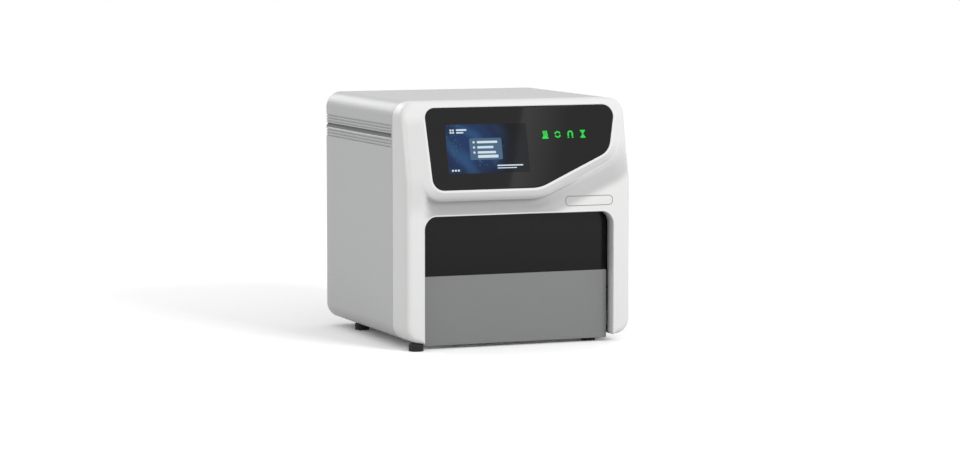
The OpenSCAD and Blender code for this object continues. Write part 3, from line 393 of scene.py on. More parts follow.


# hollow under the brow, then the painted shade: how far the paint is darkened and where
brow = {"lipRun": 9.0, "lipEnd": 4.6, "lipDrop": 2.6, "lipMost": 1.9, "step": 3.5, "soft": 24.0, "turn": 1.3,
        "cove": 15.0, "coveRight": 7.0, "coveEase": (14, 33), "coveFlat": 0.82, "coveEnd": (34, 50),
        "coveLeft": (-186, -160), "rightRun": (20, 120), "crease": 60.0}
shade = {"tone": 0.52, "start": 0.7, "startRun": (6, 18), "right": 0.13, "band": 0.30,
         "bandRun": (-10.5, -8.5), "side": 0.13, "sideRun": (-150, -110), "sideLow": (225, 262),
         "sideHigh": (385, 408), "reveal": 0.24, "revealFrom": 10, "skin": 1.6}


def browShape(points):
    # distance past the pod's edge, how far it faces down there, distance past its lip, depth of the hollow
    d, away = toEdge(inPod(points), podEdge)
    down = np.clip(-away[:, 1], 0, 1) ** brow["turn"]
    past = d - brow["lipEnd"] * down
    hollow = down * smooth(past, 0, brow["step"]) * (1 - smooth(d, *brow["coveEnd"]))
    return d, down, past, hollow * smooth(points[:, 0], *brow["coveLeft"])


def frontDepth(points):
    # depth of the bezel's front at points x, z
    x, z = points[:, 0], points[:, 1]
    slope = tan(pod["lean"])
    plane = tipY + (z - pod["browZ"]) * slope
    creaseZ = pod["browZ"] + (faceY - tipY) / slope
    reach = brow["crease"] * tan(pod["lean"] / 2)
    bend = np.clip((z - creaseZ + reach) / (2 * reach), 0, 1)
    base = np.where(z > creaseZ + reach, plane, faceY + bend ** 2 * slope * reach)
    d, down, past, hollow = browShape(points)
    blendTo = smooth(past, 0, brow["soft"] * (1 - down) + brow["step"] * down)
    lip = brow["lipDrop"] * np.clip((d + brow["lipRun"]) / brow["lipRun"], 0, brow["lipMost"]) ** 2 * down
    deep = brow["cove"] + (brow["coveRight"] - brow["cove"]) * smooth(x, *brow["rightRun"])
    cove = deep * hollow * (1 - brow["coveFlat"] * smooth(d, *brow["coveEase"]))
    return (np.maximum(plane, tipY) + lip) * (1 - blendTo) + (base + cove) * blendTo


def paintedFrontShade(points):
    # painted shade: how far the paint is darkened at points x, z, under the brow, on the band by its lip and
    # left of the glass
    x, z = points[:, 0], points[:, 1]
    d, down, past, hollow = browShape(points)
    ease = shade["start"] + (1 - shade["start"]) * smooth(d, *shade["startRun"])
    under = shade["tone"] * hollow * (ease - shade["right"] * smooth(x, *brow["rightRun"]))
    band = shade["band"] * down * smooth(d, *shade["bandRun"]) * smooth(-past, -1, 1)
    high = smooth(z, *shade["sideLow"]) * (1 - smooth(z, *shade["sideHigh"]))
    return np.maximum(under + band, shade["side"] * high * (1 - smooth(x, *shade["sideRun"])))


# pieces
def addObject(name, data):
    item = bpy.data.objects.new(name, data)
    scene.collection.objects.link(item)
    return item


def addPiece(name, mesh, body, slot, sharp, replaces=()):
    mesh.shade_smooth()
    mesh.set_sharp_from_angle(angle=radians(sharp))
    piece = addObject(name, mesh)
    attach(piece, body)
    if replaces:
        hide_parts(*replaces)
    return piece


def reworked(mesh, edit):
    work = bmesh.new()
    work.from_mesh(mesh)
    edit(work)
    work.to_mesh(mesh)
    work.free()


def joinAndTurnOut(work):
    bmesh.ops.remove_doubles(work, verts=work.verts, dist=1e-6)
    bmesh.ops.recalc_face_normals(work, faces=work.faces)


def meshPiece(name, points, faces, finish, slot, sharp, body="chassis", replaces=(), edit=joinAndTurnOut):
    mesh = bpy.data.meshes.new(name)
    faces = [tuple(int(i) for i in face) for face in faces]
    mesh.from_pydata([tuple(c * mm for c in point) for point in points], [], faces)
    mesh.materials.append(finishes[finish])
    reworked(mesh, edit)
    return addPiece(name, mesh, body, slot, sharp, replaces)


def thicken(piece, thickness):
    wall = piece.modifiers.new("wall", "SOLIDIFY")
    wall.thickness = thickness * mm
    wall.offset = -1


def loft(rings, closed=True, wrap=False, caps=False):
    # faces between rings of the same count; wrap joins the last ring to the first
    count, last = len(rings[0]), (len(rings) - 1) * len(rings[0])
    points = [tuple(p) for ring in rings for p in ring]
    faces = []
    for a, b in [(k, k + 1) for k in range(len(rings) - 1)] + ([(len(rings) - 1, 0)] if wrap else []):
        for i in range(count if closed else count - 1):
            j = (i + 1) % count
            faces.append((a * count + i, a * count + j, b * count + j, b * count + i))
    if caps:
        faces += [tuple(range(count)), tuple(last + i for i in range(count))]
    return points, faces


def loftPiece(name, rings, finish, slot, sharp, replaces=(), **how):
    return meshPiece(name, *loft(rings, **how), finish, slot, sharp, replaces=replaces)


def blockPiece(name, ringSets, finish, slot, body="chassis", replaces=()):
    # one piece of several closed lofts
    points, faces = [], []
    for rings in ringSets:
        more, around = loft(rings, caps=True)
        faces += [tuple(i + len(points) for i in f) for f in around]
        points += more
    return meshPiece(name, points, faces, finish, slot, 30, body, replaces)


def placed(loop, depths):
    # x, y, z of a loop in x and z that has a depth at each point
    return [(x, y, z) for (x, z), y in zip(loop, depths)]


def mouthPath(low):
    # edge of the opening, up one side and down the other
    inner, top, r = opening["w"] / 2, opening["z"], opening["r"]
    corners = [(inner, low), (inner, top), (-inner, top), (-inner, low)]
    return resampled(roundedLoop(corners, [0, r, r, 0], 14), 3.0, closed=False)


# front bezel; rows are the distances from the pod's edge at which the net of the front has points
bezel = {"pitch": 2.5, "fillet": 10.5, "legFillet": 1.5, "legRun": 8, "draft": 2.0, "lip": 1.5, "wall": 2.0,
         "turns": 8, "lipTurns": 5, "reveal": (12, 0.3), "ledge": -6.0,
         "toSeam": ((0.25, 0), (0.5, 0), (0.75, 0), (0.99, 0), (1.0, 0.6), (1.0, 3.2)),
         "grid": 4.0, "gridIn": 2, "gridFrom": 30, "apart": 1.1,
         "rows": (-12.5, -11, -9, -7.5, -6, -4.5, -3, -1.5, 0, 1.5, 3, 4, 4.6, 5.3, 6, 6.7, 7.4, 8.2, 9.2,
                  10.6, 12.5, 15, 18, 21, 24.5, 28)}


def bezelOutline():
    # the front's edge from the left leg's inner corner round the top to the right one's, with the outward
    # direction and the fillet's radius at each point
    w, edge, low, inner = body["w"] / 2, body["edge"], body["foot"], opening["w"] / 2
    corners = [(-inner, low), (-w, low), (-w, topZ), (w, topZ), (w, low), (inner, low)]
    path = resampled(roundedLoop(corners, [0, edge, edge, edge, edge, 0], 24), bezel["pitch"], closed=False)
    nearLeg = np.clip((np.abs(path[:, 0]) - inner) / bezel["legRun"], 0, 1)
    atLeg = bezel["legFillet"] + (bezel["fillet"] - bezel["legFillet"]) * nearLeg
    return path, -asideOf(path), np.where(path[:, 1] < low + 0.5, atLeg, bezel["fillet"])


def frontNet(outline, hole):
    # triangles between the outline and the hole, closer set round the pod
    near = np.vstack([fromPod(resampled(glassLoop(pod["rim"] + d, 30), 3.2)) for d in bezel["rows"]])
    side = body["w"] / 2 - bezel["gridIn"]
    xs, zs = np.meshgrid(np.arange(-side, side + 1, bezel["grid"]),
                         np.arange(body["foot"] + bezel["gridIn"], topZ - 1, bezel["grid"]))
    grid = np.column_stack([xs.ravel(), zs.ravel()])
    free = np.vstack([near, grid[toEdge(inPod(grid), podEdge)[0] > bezel["gridFrom"]]])
    free = free[insideLoop(free, outline) & ~insideLoop(free, hole)]
    edges = np.vstack([outline, hole])
    far = np.array([np.min(np.linalg.norm(edges - p, axis=1)) for p in free])
    points = [Vector(p) for p in np.vstack([edges, free[far > bezel["apart"]]])]
    n, m = len(outline), len(hole)
    bounds = [(i, (i + 1) % n) for i in range(n)] + [(n + i, n + (i + 1) % m) for i in range(m)]
    flat, _, faces, *_ = delaunay_2d_cdt(points, bounds, [], 1, 1e-5)
    flat = np.array([tuple(p) for p in flat])
    centres = np.array([flat[list(f)].mean(0) for f in faces])
    outside = insideLoop(centres, hole) | ~insideLoop(centres, outline)
    return flat, [tuple(f) for f, out in zip(faces, outside) if not out]


def paintShadeOnFront(mesh):
    # the painted-shade attribute, on the front's own face and in the opening's reveal, where it darkens the
    # paint
    at = np.array([v.co for v in mesh.vertices]) / mm
    spots, depth = at[:, (0, 2)], at[:, 1]
    inOpening = (np.abs(spots[:, 0]) < opening["w"] / 2 + 1) & (spots[:, 1] < opening["z"] + 1)
    reveal = shade["reveal"] * (inOpening & (depth > faceY + shade["revealFrom"]))
    tone = np.where(depth < frontDepth(spots) + shade["skin"], paintedFrontShade(spots), reveal)
    mesh.attributes.new("underBrow", "FLOAT", "POINT").data.foreach_set("value", tone.astype(np.float32))


def bezelSkin():
    path, outward, radius = bezelOutline()
    inner, lip = opening["w"] / 2, bezel["lip"]
    share = np.clip((np.abs(path[:, 0]) - inner) / (body["w"] / 2 - inner), 0, 1)
    narrow = path - np.column_stack([np.sign(path[:, 0]) * bezel["draft"] * share, np.zeros(len(path))])
    inset = narrow - outward * radius[:, None]
    inset[0] += (-lip, 0)
    inset[-1] += (lip, 0)
    mouth = mouthPath(body["foot"])
    rim = (mouth + asideOf(mouth) * lip)[1:-1]
    outline = np.vstack([inset, rim])
    hole = fromPod(resampled(glassLoop(glass["gap"]), 2.2))
    k, n, m = len(inset), len(outline), len(hole)
    flat, faces = frontNet(outline, hole)
    depth = frontDepth(flat)
    verts = placed(flat, depth)

    def addRing(last, points, closed=False):
        # joins new points, one for each of the last ring
        ring = list(range(len(verts), len(verts) + len(last)))
        verts.extend(points)
        for i in range(len(last) - (0 if closed else 1)):
            j = (i + 1) % len(last)
            faces.append((last[i], last[j], ring[j], ring[i]))
        return ring

    # fillet to the sides, then back to the seam
    reach = 0.2
    slope = (frontDepth(inset + outward * reach) - frontDepth(inset - outward * reach)) / (2 * reach)
    tilt = np.arctan(np.clip(slope, -0.6, 0.6))
    last = list(range(k))
    for step in range(1, bezel["turns"] + 1):
        a = tilt + (pi / 2 - tilt) * step / bezel["turns"]
        share = (np.sin(a) - np.sin(tilt)) / (1 - np.sin(tilt))
        last = addRing(last, placed(inset + (narrow - inset) * share[:, None],
                                    depth[:k] + radius * (np.cos(tilt) - np.cos(a))))
    endY = np.array([verts[i][1] for i in last])
    for share, pull in bezel["toSeam"]:
        last = addRing(last, placed(narrow + (path - narrow) * share - outward * pull,
                                    endY + (seamY - endY) * share))

    # rounded edge of the opening, then its reveal
    last = chain = [k - 1] + list(range(k, n)) + [0]
    flatRim = np.vstack([inset[-1], rim, inset[0]])
    for step in range(1, bezel["lipTurns"] + 1):
        a = pi / 2 * step / bezel["lipTurns"]
        last = addRing(last, placed(flatRim + (mouth - flatRim) * sin(a), depth[chain] + lip * (1 - cos(a))))
    for short in bezel["reveal"]:
        last = addRing(last, placed(mouth, [opening["back"] - short] * len(mouth)))

    # recess that holds the glass
    last = list(range(n, n + m))
    for g in (glass["gap"], bezel["ledge"]):
        last = addRing(last, [podPoint(u, v, -pod["glassT"] - 0.05)
                              for u, v in resampled(glassLoop(g), count=m)], closed=True)
    piece = meshPiece("bezelSkin", verts, faces, "bezelPaint", "bezel", 35, replaces=["front_bezel"])
    paintShadeOnFront(piece.data)
    thicken(piece, bezel["wall"])


bezelSkin()
print("bezel made")

# display pod; icons are drawn round their own middles, at the places in u and v
display = {"edge": 0.6, "beadWidth": 4.6, "beadHigh": 1.1, "beadLow": 0.8, "beadSteps": 8, "proud": 0.06,
           "thick": 0.12}
icons = {"u": (54.0, 77.5, 101.5, 125.2), "v": 107.0, "scale": 0.82}


def podRings(profile, count):
    # the glass outline at each growth and height of the profile
    return [[podPoint(u, v, out) for u, v in resampled(glassLoop(g), count=count)] for g, out in profile]


def displayGlass():
    e = display["edge"]
    profile = [(-4 * e, 0), (-e, 0), (-0.55 * e, -0.07), (-0.2 * e, -0.25), (0, -e), (0, -pod["glassT"])]
    loftPiece("displayPane", podRings(profile, 260), "displayBlack", "display", 30,
              ["display_glass"], caps=True)


def glassBead():
    # fine white bead round the glass
    steps, w, inner, low = display["beadSteps"], display["beadWidth"], glass["gap"], -display["beadLow"]
    profile = [(inner + w / 2 * (1 - cos(pi * k / steps)), display["beadHigh"] * sin(pi * k / steps) - 0.1)
               for k in range(steps + 1)] + [(inner + 0.8 * w, low), (inner + 0.2 * w, low)]
    loftPiece("glassBead", podRings(profile, 420), "rimWhite", "bezel", 50, wrap=True)


def decal(name, outlines, finish, low, high, slot="display"):
    # flat plates in the pod's plane, each from its outline, between two heights
    blockPiece(name, [[[podPoint(u, v, out) for u, v in loop] for out in (high, low)] for loop in outlines],
               finish, slot)


def onArc(cx, cy, radius, degrees):
    return [(cx + radius * cos(radians(a)), cy + radius * sin(radians(a))) for a in degrees]


def arcBand(cx, cy, inner, outer, start, end, steps=14):
    turns = np.linspace(start, end, steps + 1)
    return np.array(onArc(cx, cy, outer, turns) + onArc(cx, cy, inner, turns[::-1]))


def waveStrip(x, y0, y1, w, swing, steps=14):
    wave = [(x + swing * sin(2 * pi * k / steps), y0 + (y1 - y0) * k / steps) for k in range(steps + 1)]
    return np.array([(m - w / 2, y) for m, y in wave] + [(m + w / 2, y) for m, y in reversed(wave)])


def lampIcons():
    heater = [plate(-7, -8.5, 7, -5.1), plate(-5.2, -5.3, 5.2, -2.9)]
    heater += [waveStrip(x, -3.3, 8.5, 2.7, 0.7) for x in (-3.3, 0.3, 3.9)]
    mixer = [arcBand(0, 0, 4.3, 7.2, turn + 20, turn + 150) for turn in (0, 180)]
    arrow = ((2.9, 149), (5.75, 176), (8.9, 149))
    mixer += [np.array([onArc(0, 0, reach, [turn + a])[0] for reach, a in arrow]) for turn in (0, 180)]
    magnet = [arcBand(0, 1.6, 3.1, 6.4, 0, 180)]
    magnet += [plate(x - 1.65, low, x + 1.65, high, 0.1)
               for x in (-4.75, 4.75) for low, high in ((-4.3, 1.7), (-8.1, -5.3))]
    hourglass = [plate(-5.8, -8.5, 5.8, -5.9), plate(-5.8, 5.9, 5.8, 8.5)]
    hourglass += [np.array([(-4.8, y), (-0.9, 0), (0.9, 0), (4.8, y)]) for y in (6, -6)]
    shapes = [np.array([u, icons["v"]]) + shape * icons["scale"]
              for u, icon in zip(icons["u"], (heater, mixer, magnet, hourglass)) for shape in icon]
    decal("stateIcons", shapes, "lampGreen", -0.1, display["proud"] + display["thick"], "lamp")


# generic picture in the pod's plane; marks are rows of small plates: left, low, width, height, corner
# radius, count, and the step from one to the next in u and v
screen = {"field": (-131.5, 42.7, 19.5, 128.7, 1.0), "panel": (-89, 66, -29, 104, 2.5), "marks": (
    (-123.5, 113.1, 3.4, 3.0, 0.7, 2, 4.6, 0), (-123.5, 117.3, 3.4, 3.0, 0.7, 2, 4.6, 0),
    (-75, 95, 38, 4, 1.2, 1, 0, 0), (-75, 86, 30, 4, 1.2, 1, 0, 0), (-75, 77, 34, 4, 1.2, 1, 0, 0),
    (-83, 95, 4, 4, 1.9, 3, 0, -9), (-125.5, 46.7, 3.6, 3.2, 0.6, 3, 5.4, 0),
    (-111.5, 117.5, 19, 3.0, 0.6, 1, 0, 0), (-111.5, 113.1, 13, 2.4, 0.6, 1, 0, 0),
    (-40.5, 54.2, 48, 2.2, 0.6, 1, 0, 0), (-40.5, 50.1, 36, 1.6, 0.6, 1, 0, 0),
    (-75, 69.4, 38, 5, 1.2, 1, 0, 0))}


def screenPicture():
    low, t = display["proud"], display["thick"]
    decal("screenPicture", [plate(*screen["field"])], "screenBlue", -0.1, low)
    decal("screenPanel", [plate(*screen["panel"])], "screenPanel", 0, low + t)
    marks = [plate(u + du * k, v + dv * k, u + du * k + wide, v + dv * k + high, r)
             for u, v, wide, high, r, count, du, dv in screen["marks"] for k in range(count)]
    decal("screenMarks", marks, "screenWhite", low, low + 2 * t)


badge = {"box": (85.7, 243.0, 175.1, 261.0), "inset": 1.5, "line": 1.3, "proud": 0.25, "sunk": -0.4}


def badgeFrame():
    # plain raised outline on the lower face, bare inside
    (x0, z0, x1, z1), w, h, sunk = badge["box"], badge["line"], badge["proud"], badge["sunk"]
    r = (z1 - z0) / 2 - badge["inset"]
    rings = []
    for grow, out in ((0, sunk), (0.1, 0.75 * h), (w / 2, h), (w - 0.1, 0.75 * h), (w, sunk)):
        loop = resampled(plate(x0 + grow, z0 + grow, x1 - grow, z1 - grow, r - grow, 10), count=160)
        rings.append(placed(loop, frontDepth(loop) - out))
    loftPiece("badgeFrame", rings, "badgeGrey", "bezel", 50, wrap=True)


mouthBead = {"wide": 2.0, "proud": 0.7, "sunk": 0.5, "set": 0.6, "short": 1.6, "steps": 6}


def openingBead():
    # fine rim along the edge of the opening
    half, steps = mouthBead["wide"] / 2, mouthBead["steps"]
    path = mouthPath(body["foot"] + mouthBead["short"])
    aside = asideOf(path)
    depth = frontDepth(path + aside * (mouthBead["set"] + half))
    rings = []
    for k in range(2 * steps):
        a = pi * k / steps
        out = mouthBead["proud" if k <= steps else "sunk"] * sin(a)
        rings.append(placed(path + aside * (mouthBead["set"] + half * (1 - cos(a))), depth - out))
    points, faces = loft(rings, closed=False, wrap=True)
    faces += [tuple(k * len(path) + end for k in range(2 * steps)) for end in (0, len(path) - 1)]
    meshPiece("openingBead", points, faces, "rimWhite", "bezel", 50)


displayGlass()
glassBead()
lampIcons()
screenPicture()
badgeFrame()
openingBead()
print("display made")

# cover; grooves as height below the top or distance from the wide one, width and depth
cover = {"gap": 0.9, "belly": 150, "frontR": 0.9, "rearR": 5.0, "skin": 3.3, "lip": 4.3, "slope": 0.45,
         "fade": (0.6, 0.2), "wide": (60.5, 8.8, 4.2), "wideFall": 0.8, "rib": (2.5, 2.8), "ribPitch": 5.2,
         "ribStart": 3.6, "ribCount": 3}
# dark strip of painted shade in a wide groove, where its recess would be in shade: inward from the side and
# down from the groove's upper edge
grooveShadeStrip = {"profile": ((4.35, 0.1), (3.8, 0.2), (3.7, 1.7), (0.35, 7.6), (1.0, 8.0), (4.4, 2.1)), "short": 0.8}


def grooveList():
    # height, width and depth of each side groove
    drop, w, deep = cover["wide"]
    ribs = [s * (w / 2 + cover["ribStart"] + i * cover["ribPitch"])
            for i in range(cover["ribCount"]) for s in (-1, 1)]
    return [(topZ - drop, w, deep)] + [(topZ - drop + rib, *cover["rib"]) for rib in ribs]


def coverPath(grooves):
    # half a section up the left side, then mirrored; it has points where a groove begins or ends
    w, low, edge, belly, s = body["w"] / 2, body["foot"], body["edge"], cover["belly"], cover["slope"] / 2
    stations = sorted({round(z + side * (wide / 2 + step), 3) for z, wide, _ in grooves for side in (-1, 1)
                       for step in (s, -s)} | {z for z, _, _ in grooves})
    plain = list(np.arange(low + edge + 6, stations[0] - 3, 8.0))
    foot = roundedLoop([(-belly, low), (-w, low), (-w, low + 200)], [0, edge, 0], 24)[1:-1]
    head = roundedLoop([(-w, topZ - 100), (-w, topZ), (0, topZ)], [0, edge, 0], 24)[1:-1]
    half = [(-belly + (foot[0][0] + belly) * k / 8, low) for k in range(8)]
    half += [tuple(p) for p in foot] + [(-w, z) for z in plain + stations] + [tuple(p) for p in head]
    half += [(-x, topZ) for x in np.linspace(w - edge, 0, 24)[1:]]
    return np.array(half + [(-x, z) for x, z in reversed(half[:-1])])


def turnTopUp(work):
    bmesh.ops.recalc_face_normals(work, faces=work.faces)
    top = min(work.faces, key=lambda f: (f.calc_center_median() - Vector((0, 0, topZ * mm))).length)
    if top.normal.z < 0:
        bmesh.ops.reverse_faces(work, faces=work.faces)


def coverSkin():
    grooves, s = grooveList(), cover["slope"]
    path = coverPath(grooves)
    inward, x, z = asideOf(path), path[:, 0], path[:, 1]
    deep = np.zeros(len(path))
    for middle, wide, depth in grooves:
        # the wide groove runs out on its lower side
        fall = cover["wideFall"] * wide if wide == cover["wide"][1] else s
        upper = np.clip((middle + wide / 2 + s / 2 - z) / s, 0, 1)
        deep = np.maximum(deep, depth * upper * np.clip((z - middle + wide / 2 + s / 2) / fall, 0, 1))
    deep[np.abs(np.abs(x) - body["w"] / 2) >= 0.01] = 0
    y0, y1, front, rear = seamY + cover["gap"], rearY, cover["frontR"], cover["rearR"]
    start, (before, after) = y0 + cover["lip"], cover["fade"]
    rings = [(y0 + front * (1 - cos(pi / 2 * k / 3)), front * (1 - sin(pi / 2 * k / 3))) for k in range(4)]
    rings += [(start - before, 0), (start + after, 0)]
    rings += [(y, 0) for y in np.linspace(start + after, y1 - rear, 14)[1:]]
    rings += [(y1 - rear * (1 - sin(pi / 2 * k / 8)), rear * (1 - cos(pi / 2 * k / 8))) for k in range(1, 9)]
    loops = []
    for y, pull in rings:
        cut = np.maximum(np.clip((y - start + before) / (before + after), 0, 1) * deep - pull, 0)
        loops.append(placed(path + inward * (pull + cut)[:, None], [y] * len(path)))
    points, faces = loft(loops, closed=False)
    thicken(meshPiece("coverSkin", points, faces, "coverPaint", "cover", 35, replaces=["housing_cover"],
                      edit=turnTopUp), cover["skin"])


def grooveShadeStrips():
    # dark strips of painted shade in the wide grooves on both sides
    drop, wide, _ = cover["wide"]
    top, x = topZ - drop + wide / 2, body["w"] / 2
    y0, y1 = seamY + cover["gap"] + cover["lip"] + cover["fade"][1], rearY - grooveShadeStrip["short"]
    for side, tag in ((-1, "left"), (1, "right")):
        rings = [[(side * (x - a), y, top - b) for a, b in grooveShadeStrip["profile"]] for y in (y0, (y0 + y1) / 2, y1)]
        loftPiece(tag + "GrooveInlay", rings, "grooveShade", "cover", 40, caps=True)


coverSkin()
grooveShadeStrips()
print("cover made")

# CAD nodes whose edges are eased, with the width of the easing
eased = {
    "view_window": 0.8, "drawer_front": 0.8, "rubber_feet": 1.2, "base_plate": 0.4, "left_frame": 0.4,
    "right_frame": 0.4, "bulkhead": 0.4, "rear_panel": 0.4, "screen_module": 0.5, "lamp_board": 0.2,
    "fan_frame": 0.4, "fan_rotor": 0.25, "mains_inlet": 0.5, "fuse_drawer": 0.35, "switch_housing": 0.35,
    "power_rocker": 0.4, "data_ports": 0.2, "power_supply": 0.4, "main_board": 0.2, "driver_board": 0.2,
    "uv_lamp": 0.5, "uv_lamp_holders": 0.15, "drawer_tray": 0.4, "plate_deck": 0.5, "heater_blocks": 0.35,
    "drawer_rack": 0.12, "slide_inner": 0.3, "slide_middle": 0.3, "slide_fixed": 0.3, "drive_pinion": 0.12,
    "gantry_rails": 0.5, "gantry_frame": 0.5, "lift_rails": 0.5, "lift_plate": 0.4, "sleeve_frame": 0.2,
    "guide_shafts": 0.5, "magnet_carrier": 0.4,
}


def joinFlats(work):
    bmesh.ops.remove_doubles(work, verts=work.verts, dist=2e-6)
    bmesh.ops.dissolve_limit(work, angle_limit=radians(1), verts=work.verts, edges=work.edges)


def easedPiece(node, width, angle=38):
    mesh = nodes[node].data.copy()
    reworked(mesh, joinFlats)
    first, *rest = node.split("_")
    name = first + "".join(word.capitalize() for word in rest) + "Part"
    piece = addPiece(name, mesh, bodyOf[node], slotOf[node], angle, [node])
    soft = piece.modifiers.new("easing", "BEVEL")
    soft.width = width * mm
    soft.segments = 2
    soft.limit_method = "ANGLE"
    soft.angle_limit = radians(angle)
    soft.use_clamp_overlap = False


for name, width in eased.items():
    easedPiece(name, width)
print("eased pieces made:", len(eased))


# geometry trees that repeat a small shape; every one ends in real geometry with its material
def newTree(name, inputs):
    return newGroup("GeometryNodeTree", name, {"Geometry": "Geometry", **inputs, "Material": "Material"},
                    {"Geometry": "Geometry"})


def endTree(tree, given, out, geometry):
    real = addNode(tree, "GeometryNodeRealizeInstances", {"Geometry": geometry})[0]
    dressed = addNode(tree, "GeometryNodeSetMaterial", {"Geometry": real, "Material": given["Material"]})
    tree.links.new(dressed[0], out["Geometry"])
    return tree


def raised(tree, geometry, z):
    move = addNode(tree, "ShaderNodeCombineXYZ", {"Z": z})[0]
    return addNode(tree, "GeometryNodeTransform", {"Geometry": geometry, "Translation": move})[0]


def fastenerTree():
    # round head with an eased rim and a driver recess, on each point, facing its own way
    tree, given, out = newTree("fasteners", {"Diameter": 0.005, "Height": 0.002, "Recess": 0.5, "Sides": 16})
    shank = mathNode(tree, "MULTIPLY", given["Height"], 0.75)

    def extruded(mesh, top, share):
        by = mathNode(tree, "MULTIPLY", shank, share) if share else 0.0
        return addNode(tree, "GeometryNodeExtrudeMesh",
                       {"Mesh": mesh, "Selection": top, "Offset Scale": by, "Individual": False})

    def narrowed(part, scale):
        return addNode(tree, "GeometryNodeScaleElements",
                       {"Geometry": part["Mesh"], "Selection": part["Top"], "Scale": scale})[0]

    radius = mathNode(tree, "MULTIPLY", given["Diameter"], 0.5)
    disc = addNode(tree, "GeometryNodeMeshCylinder",
                   {"Vertices": given["Sides"], "Radius": radius, "Depth": shank})
    rim = extruded(raised(tree, disc["Mesh"], mathNode(tree, "MULTIPLY", shank, 0.5)), disc["Top"], 1 / 3)
    lip = extruded(narrowed(rim, 0.86), rim["Top"], 0)
    recess = extruded(narrowed(lip, given["Recess"]), lip["Top"], -0.8)
    facing = addNode(tree, "GeometryNodeInputNamedAttribute", {"Name": "facing"}, data_type="FLOAT_VECTOR")
    turned = addNode(tree, "FunctionNodeAlignRotationToVector", {"Vector": facing[0]}, axis="Z")
    heads = addNode(tree, "GeometryNodeInstanceOnPoints", {
        "Points": given["Geometry"], "Instance": recess["Mesh"], "Rotation": turned[0]})
    return endTree(tree, given, out, heads[0])


def threadTree():
    # screw shaft: a core with a ridge wound round it, standing on the origin along z
    given = {"Diameter": 0.008, "Pitch": 0.004, "Length": 0.1, "Ridge": 0.0011}
    tree, given, out = newTree("screwThread", given)
    half = mathNode(tree, "MULTIPLY", given["Diameter"], 0.5)
    core = mathNode(tree, "SUBTRACT", half, given["Ridge"])
    shaft = addNode(tree, "GeometryNodeMeshCylinder",
                    {"Vertices": 20, "Radius": core, "Depth": given["Length"]})
    stood = raised(tree, shaft["Mesh"], mathNode(tree, "MULTIPLY", given["Length"], 0.5))
    ends = mathNode(tree, "MULTIPLY", given["Ridge"], 2.4)
    wound = mathNode(tree, "SUBTRACT", given["Length"], ends)
    spiral = addNode(tree, "GeometryNodeCurveSpiral", {
        "Resolution": 18, "Rotations": mathNode(tree, "DIVIDE", wound, given["Pitch"]), "Start Radius": core,
        "End Radius": core, "Height": wound})[0]
    profile = addNode(tree, "GeometryNodeCurvePrimitiveCircle", {"Resolution": 4, "Radius": given["Ridge"]},
                      mode="RADIUS")[0]
    ridge = addNode(tree, "GeometryNodeCurveToMesh", {
        "Curve": raised(tree, spiral, mathNode(tree, "MULTIPLY", ends, 0.5)), "Profile Curve": profile,
        "Fill Caps": True})
    return endTree(tree, given, out, addNode(tree, "GeometryNodeJoinGeometry", {0: [stood, ridge[0]]})[0])


def smallPartsTree():
    # low blocks of uneven size scattered over a board
    tree, given, out = newTree("smallParts", {
        "Density": 9000.0, "Gap": 0.005, "Smallest": (0.0012, 0.0008, 0.0008),
        "Largest": (0.0045, 0.003, 0.0026), "Seed": 3})
    spots = addNode(tree, "GeometryNodeDistributePointsOnFaces", {
        "Mesh": given["Geometry"], "Distance Min": given["Gap"], "Density Max": given["Density"],
        "Seed": given["Seed"]}, distribute_method="POISSON")
    block = raised(tree, addNode(tree, "GeometryNodeMeshCube", {"Size": (1, 1, 1)})[0], 0.5)
    size = addNode(tree, "FunctionNodeRandomValue", {
        "Min": given["Smallest"], "Max": given["Largest"], "Seed": given["Seed"]}, data_type="FLOAT_VECTOR")
    blocks = addNode(tree, "GeometryNodeInstanceOnPoints", {
        "Points": spots["Points"], "Instance": block, "Rotation": spots["Rotation"],
        "Scale": size[0]})
    return endTree(tree, given, out, blocks[0])


fasteners, screwThread, smallParts = fastenerTree(), threadTree(), smallPartsTree()


def grow(name, tree, values, finish, body, slot, points, facing=None, faces=(), place=None, replaces=()):
    # runs a tree on a few points or faces and keeps its result as a plain mesh
    seedMesh = bpy.data.meshes.new(name + "Seed")
    seedMesh.from_pydata([tuple(c * mm for c in p) for p in points], [], faces)
    if facing:
        field = seedMesh.attributes.new("facing", "FLOAT_VECTOR", "POINT")
        field.data.foreach_set("vector", np.array([facing] * len(points), np.float32).ravel())
    seedObject = addObject(name + "Seed", seedMesh)
    modifier = seedObject.modifiers.new("grow", "NODES")
    modifier.node_group = tree
    values = {**values, "Material": finishes[finish]}
    for item in tree.interface.items_tree:
        if item.in_out == "INPUT" and item.name in values:
            modifier[item.identifier] = values[item.name]
    mesh = bpy.data.meshes.new_from_object(seedObject.evaluated_get(bpy.context.evaluated_depsgraph_get()))
    bpy.data.objects.remove(seedObject)
    if place is not None:
        mesh.transform(place)
    mesh.name = name
    return addPiece(name, mesh, body, slot, 35, replaces)


def addHeads(name, body, slot, points, facing, wide, high, recess=0.52, replaces=()):
    grow(name, fasteners, {"Diameter": wide * mm, "Height": high * mm, "Recess": recess, "Sides": 18},
         "screwSteel", body, slot, points, facing, replaces=replaces)


def boxOf(node):
    low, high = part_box(node)
    return np.array(low) / mm, np.array(high) / mm


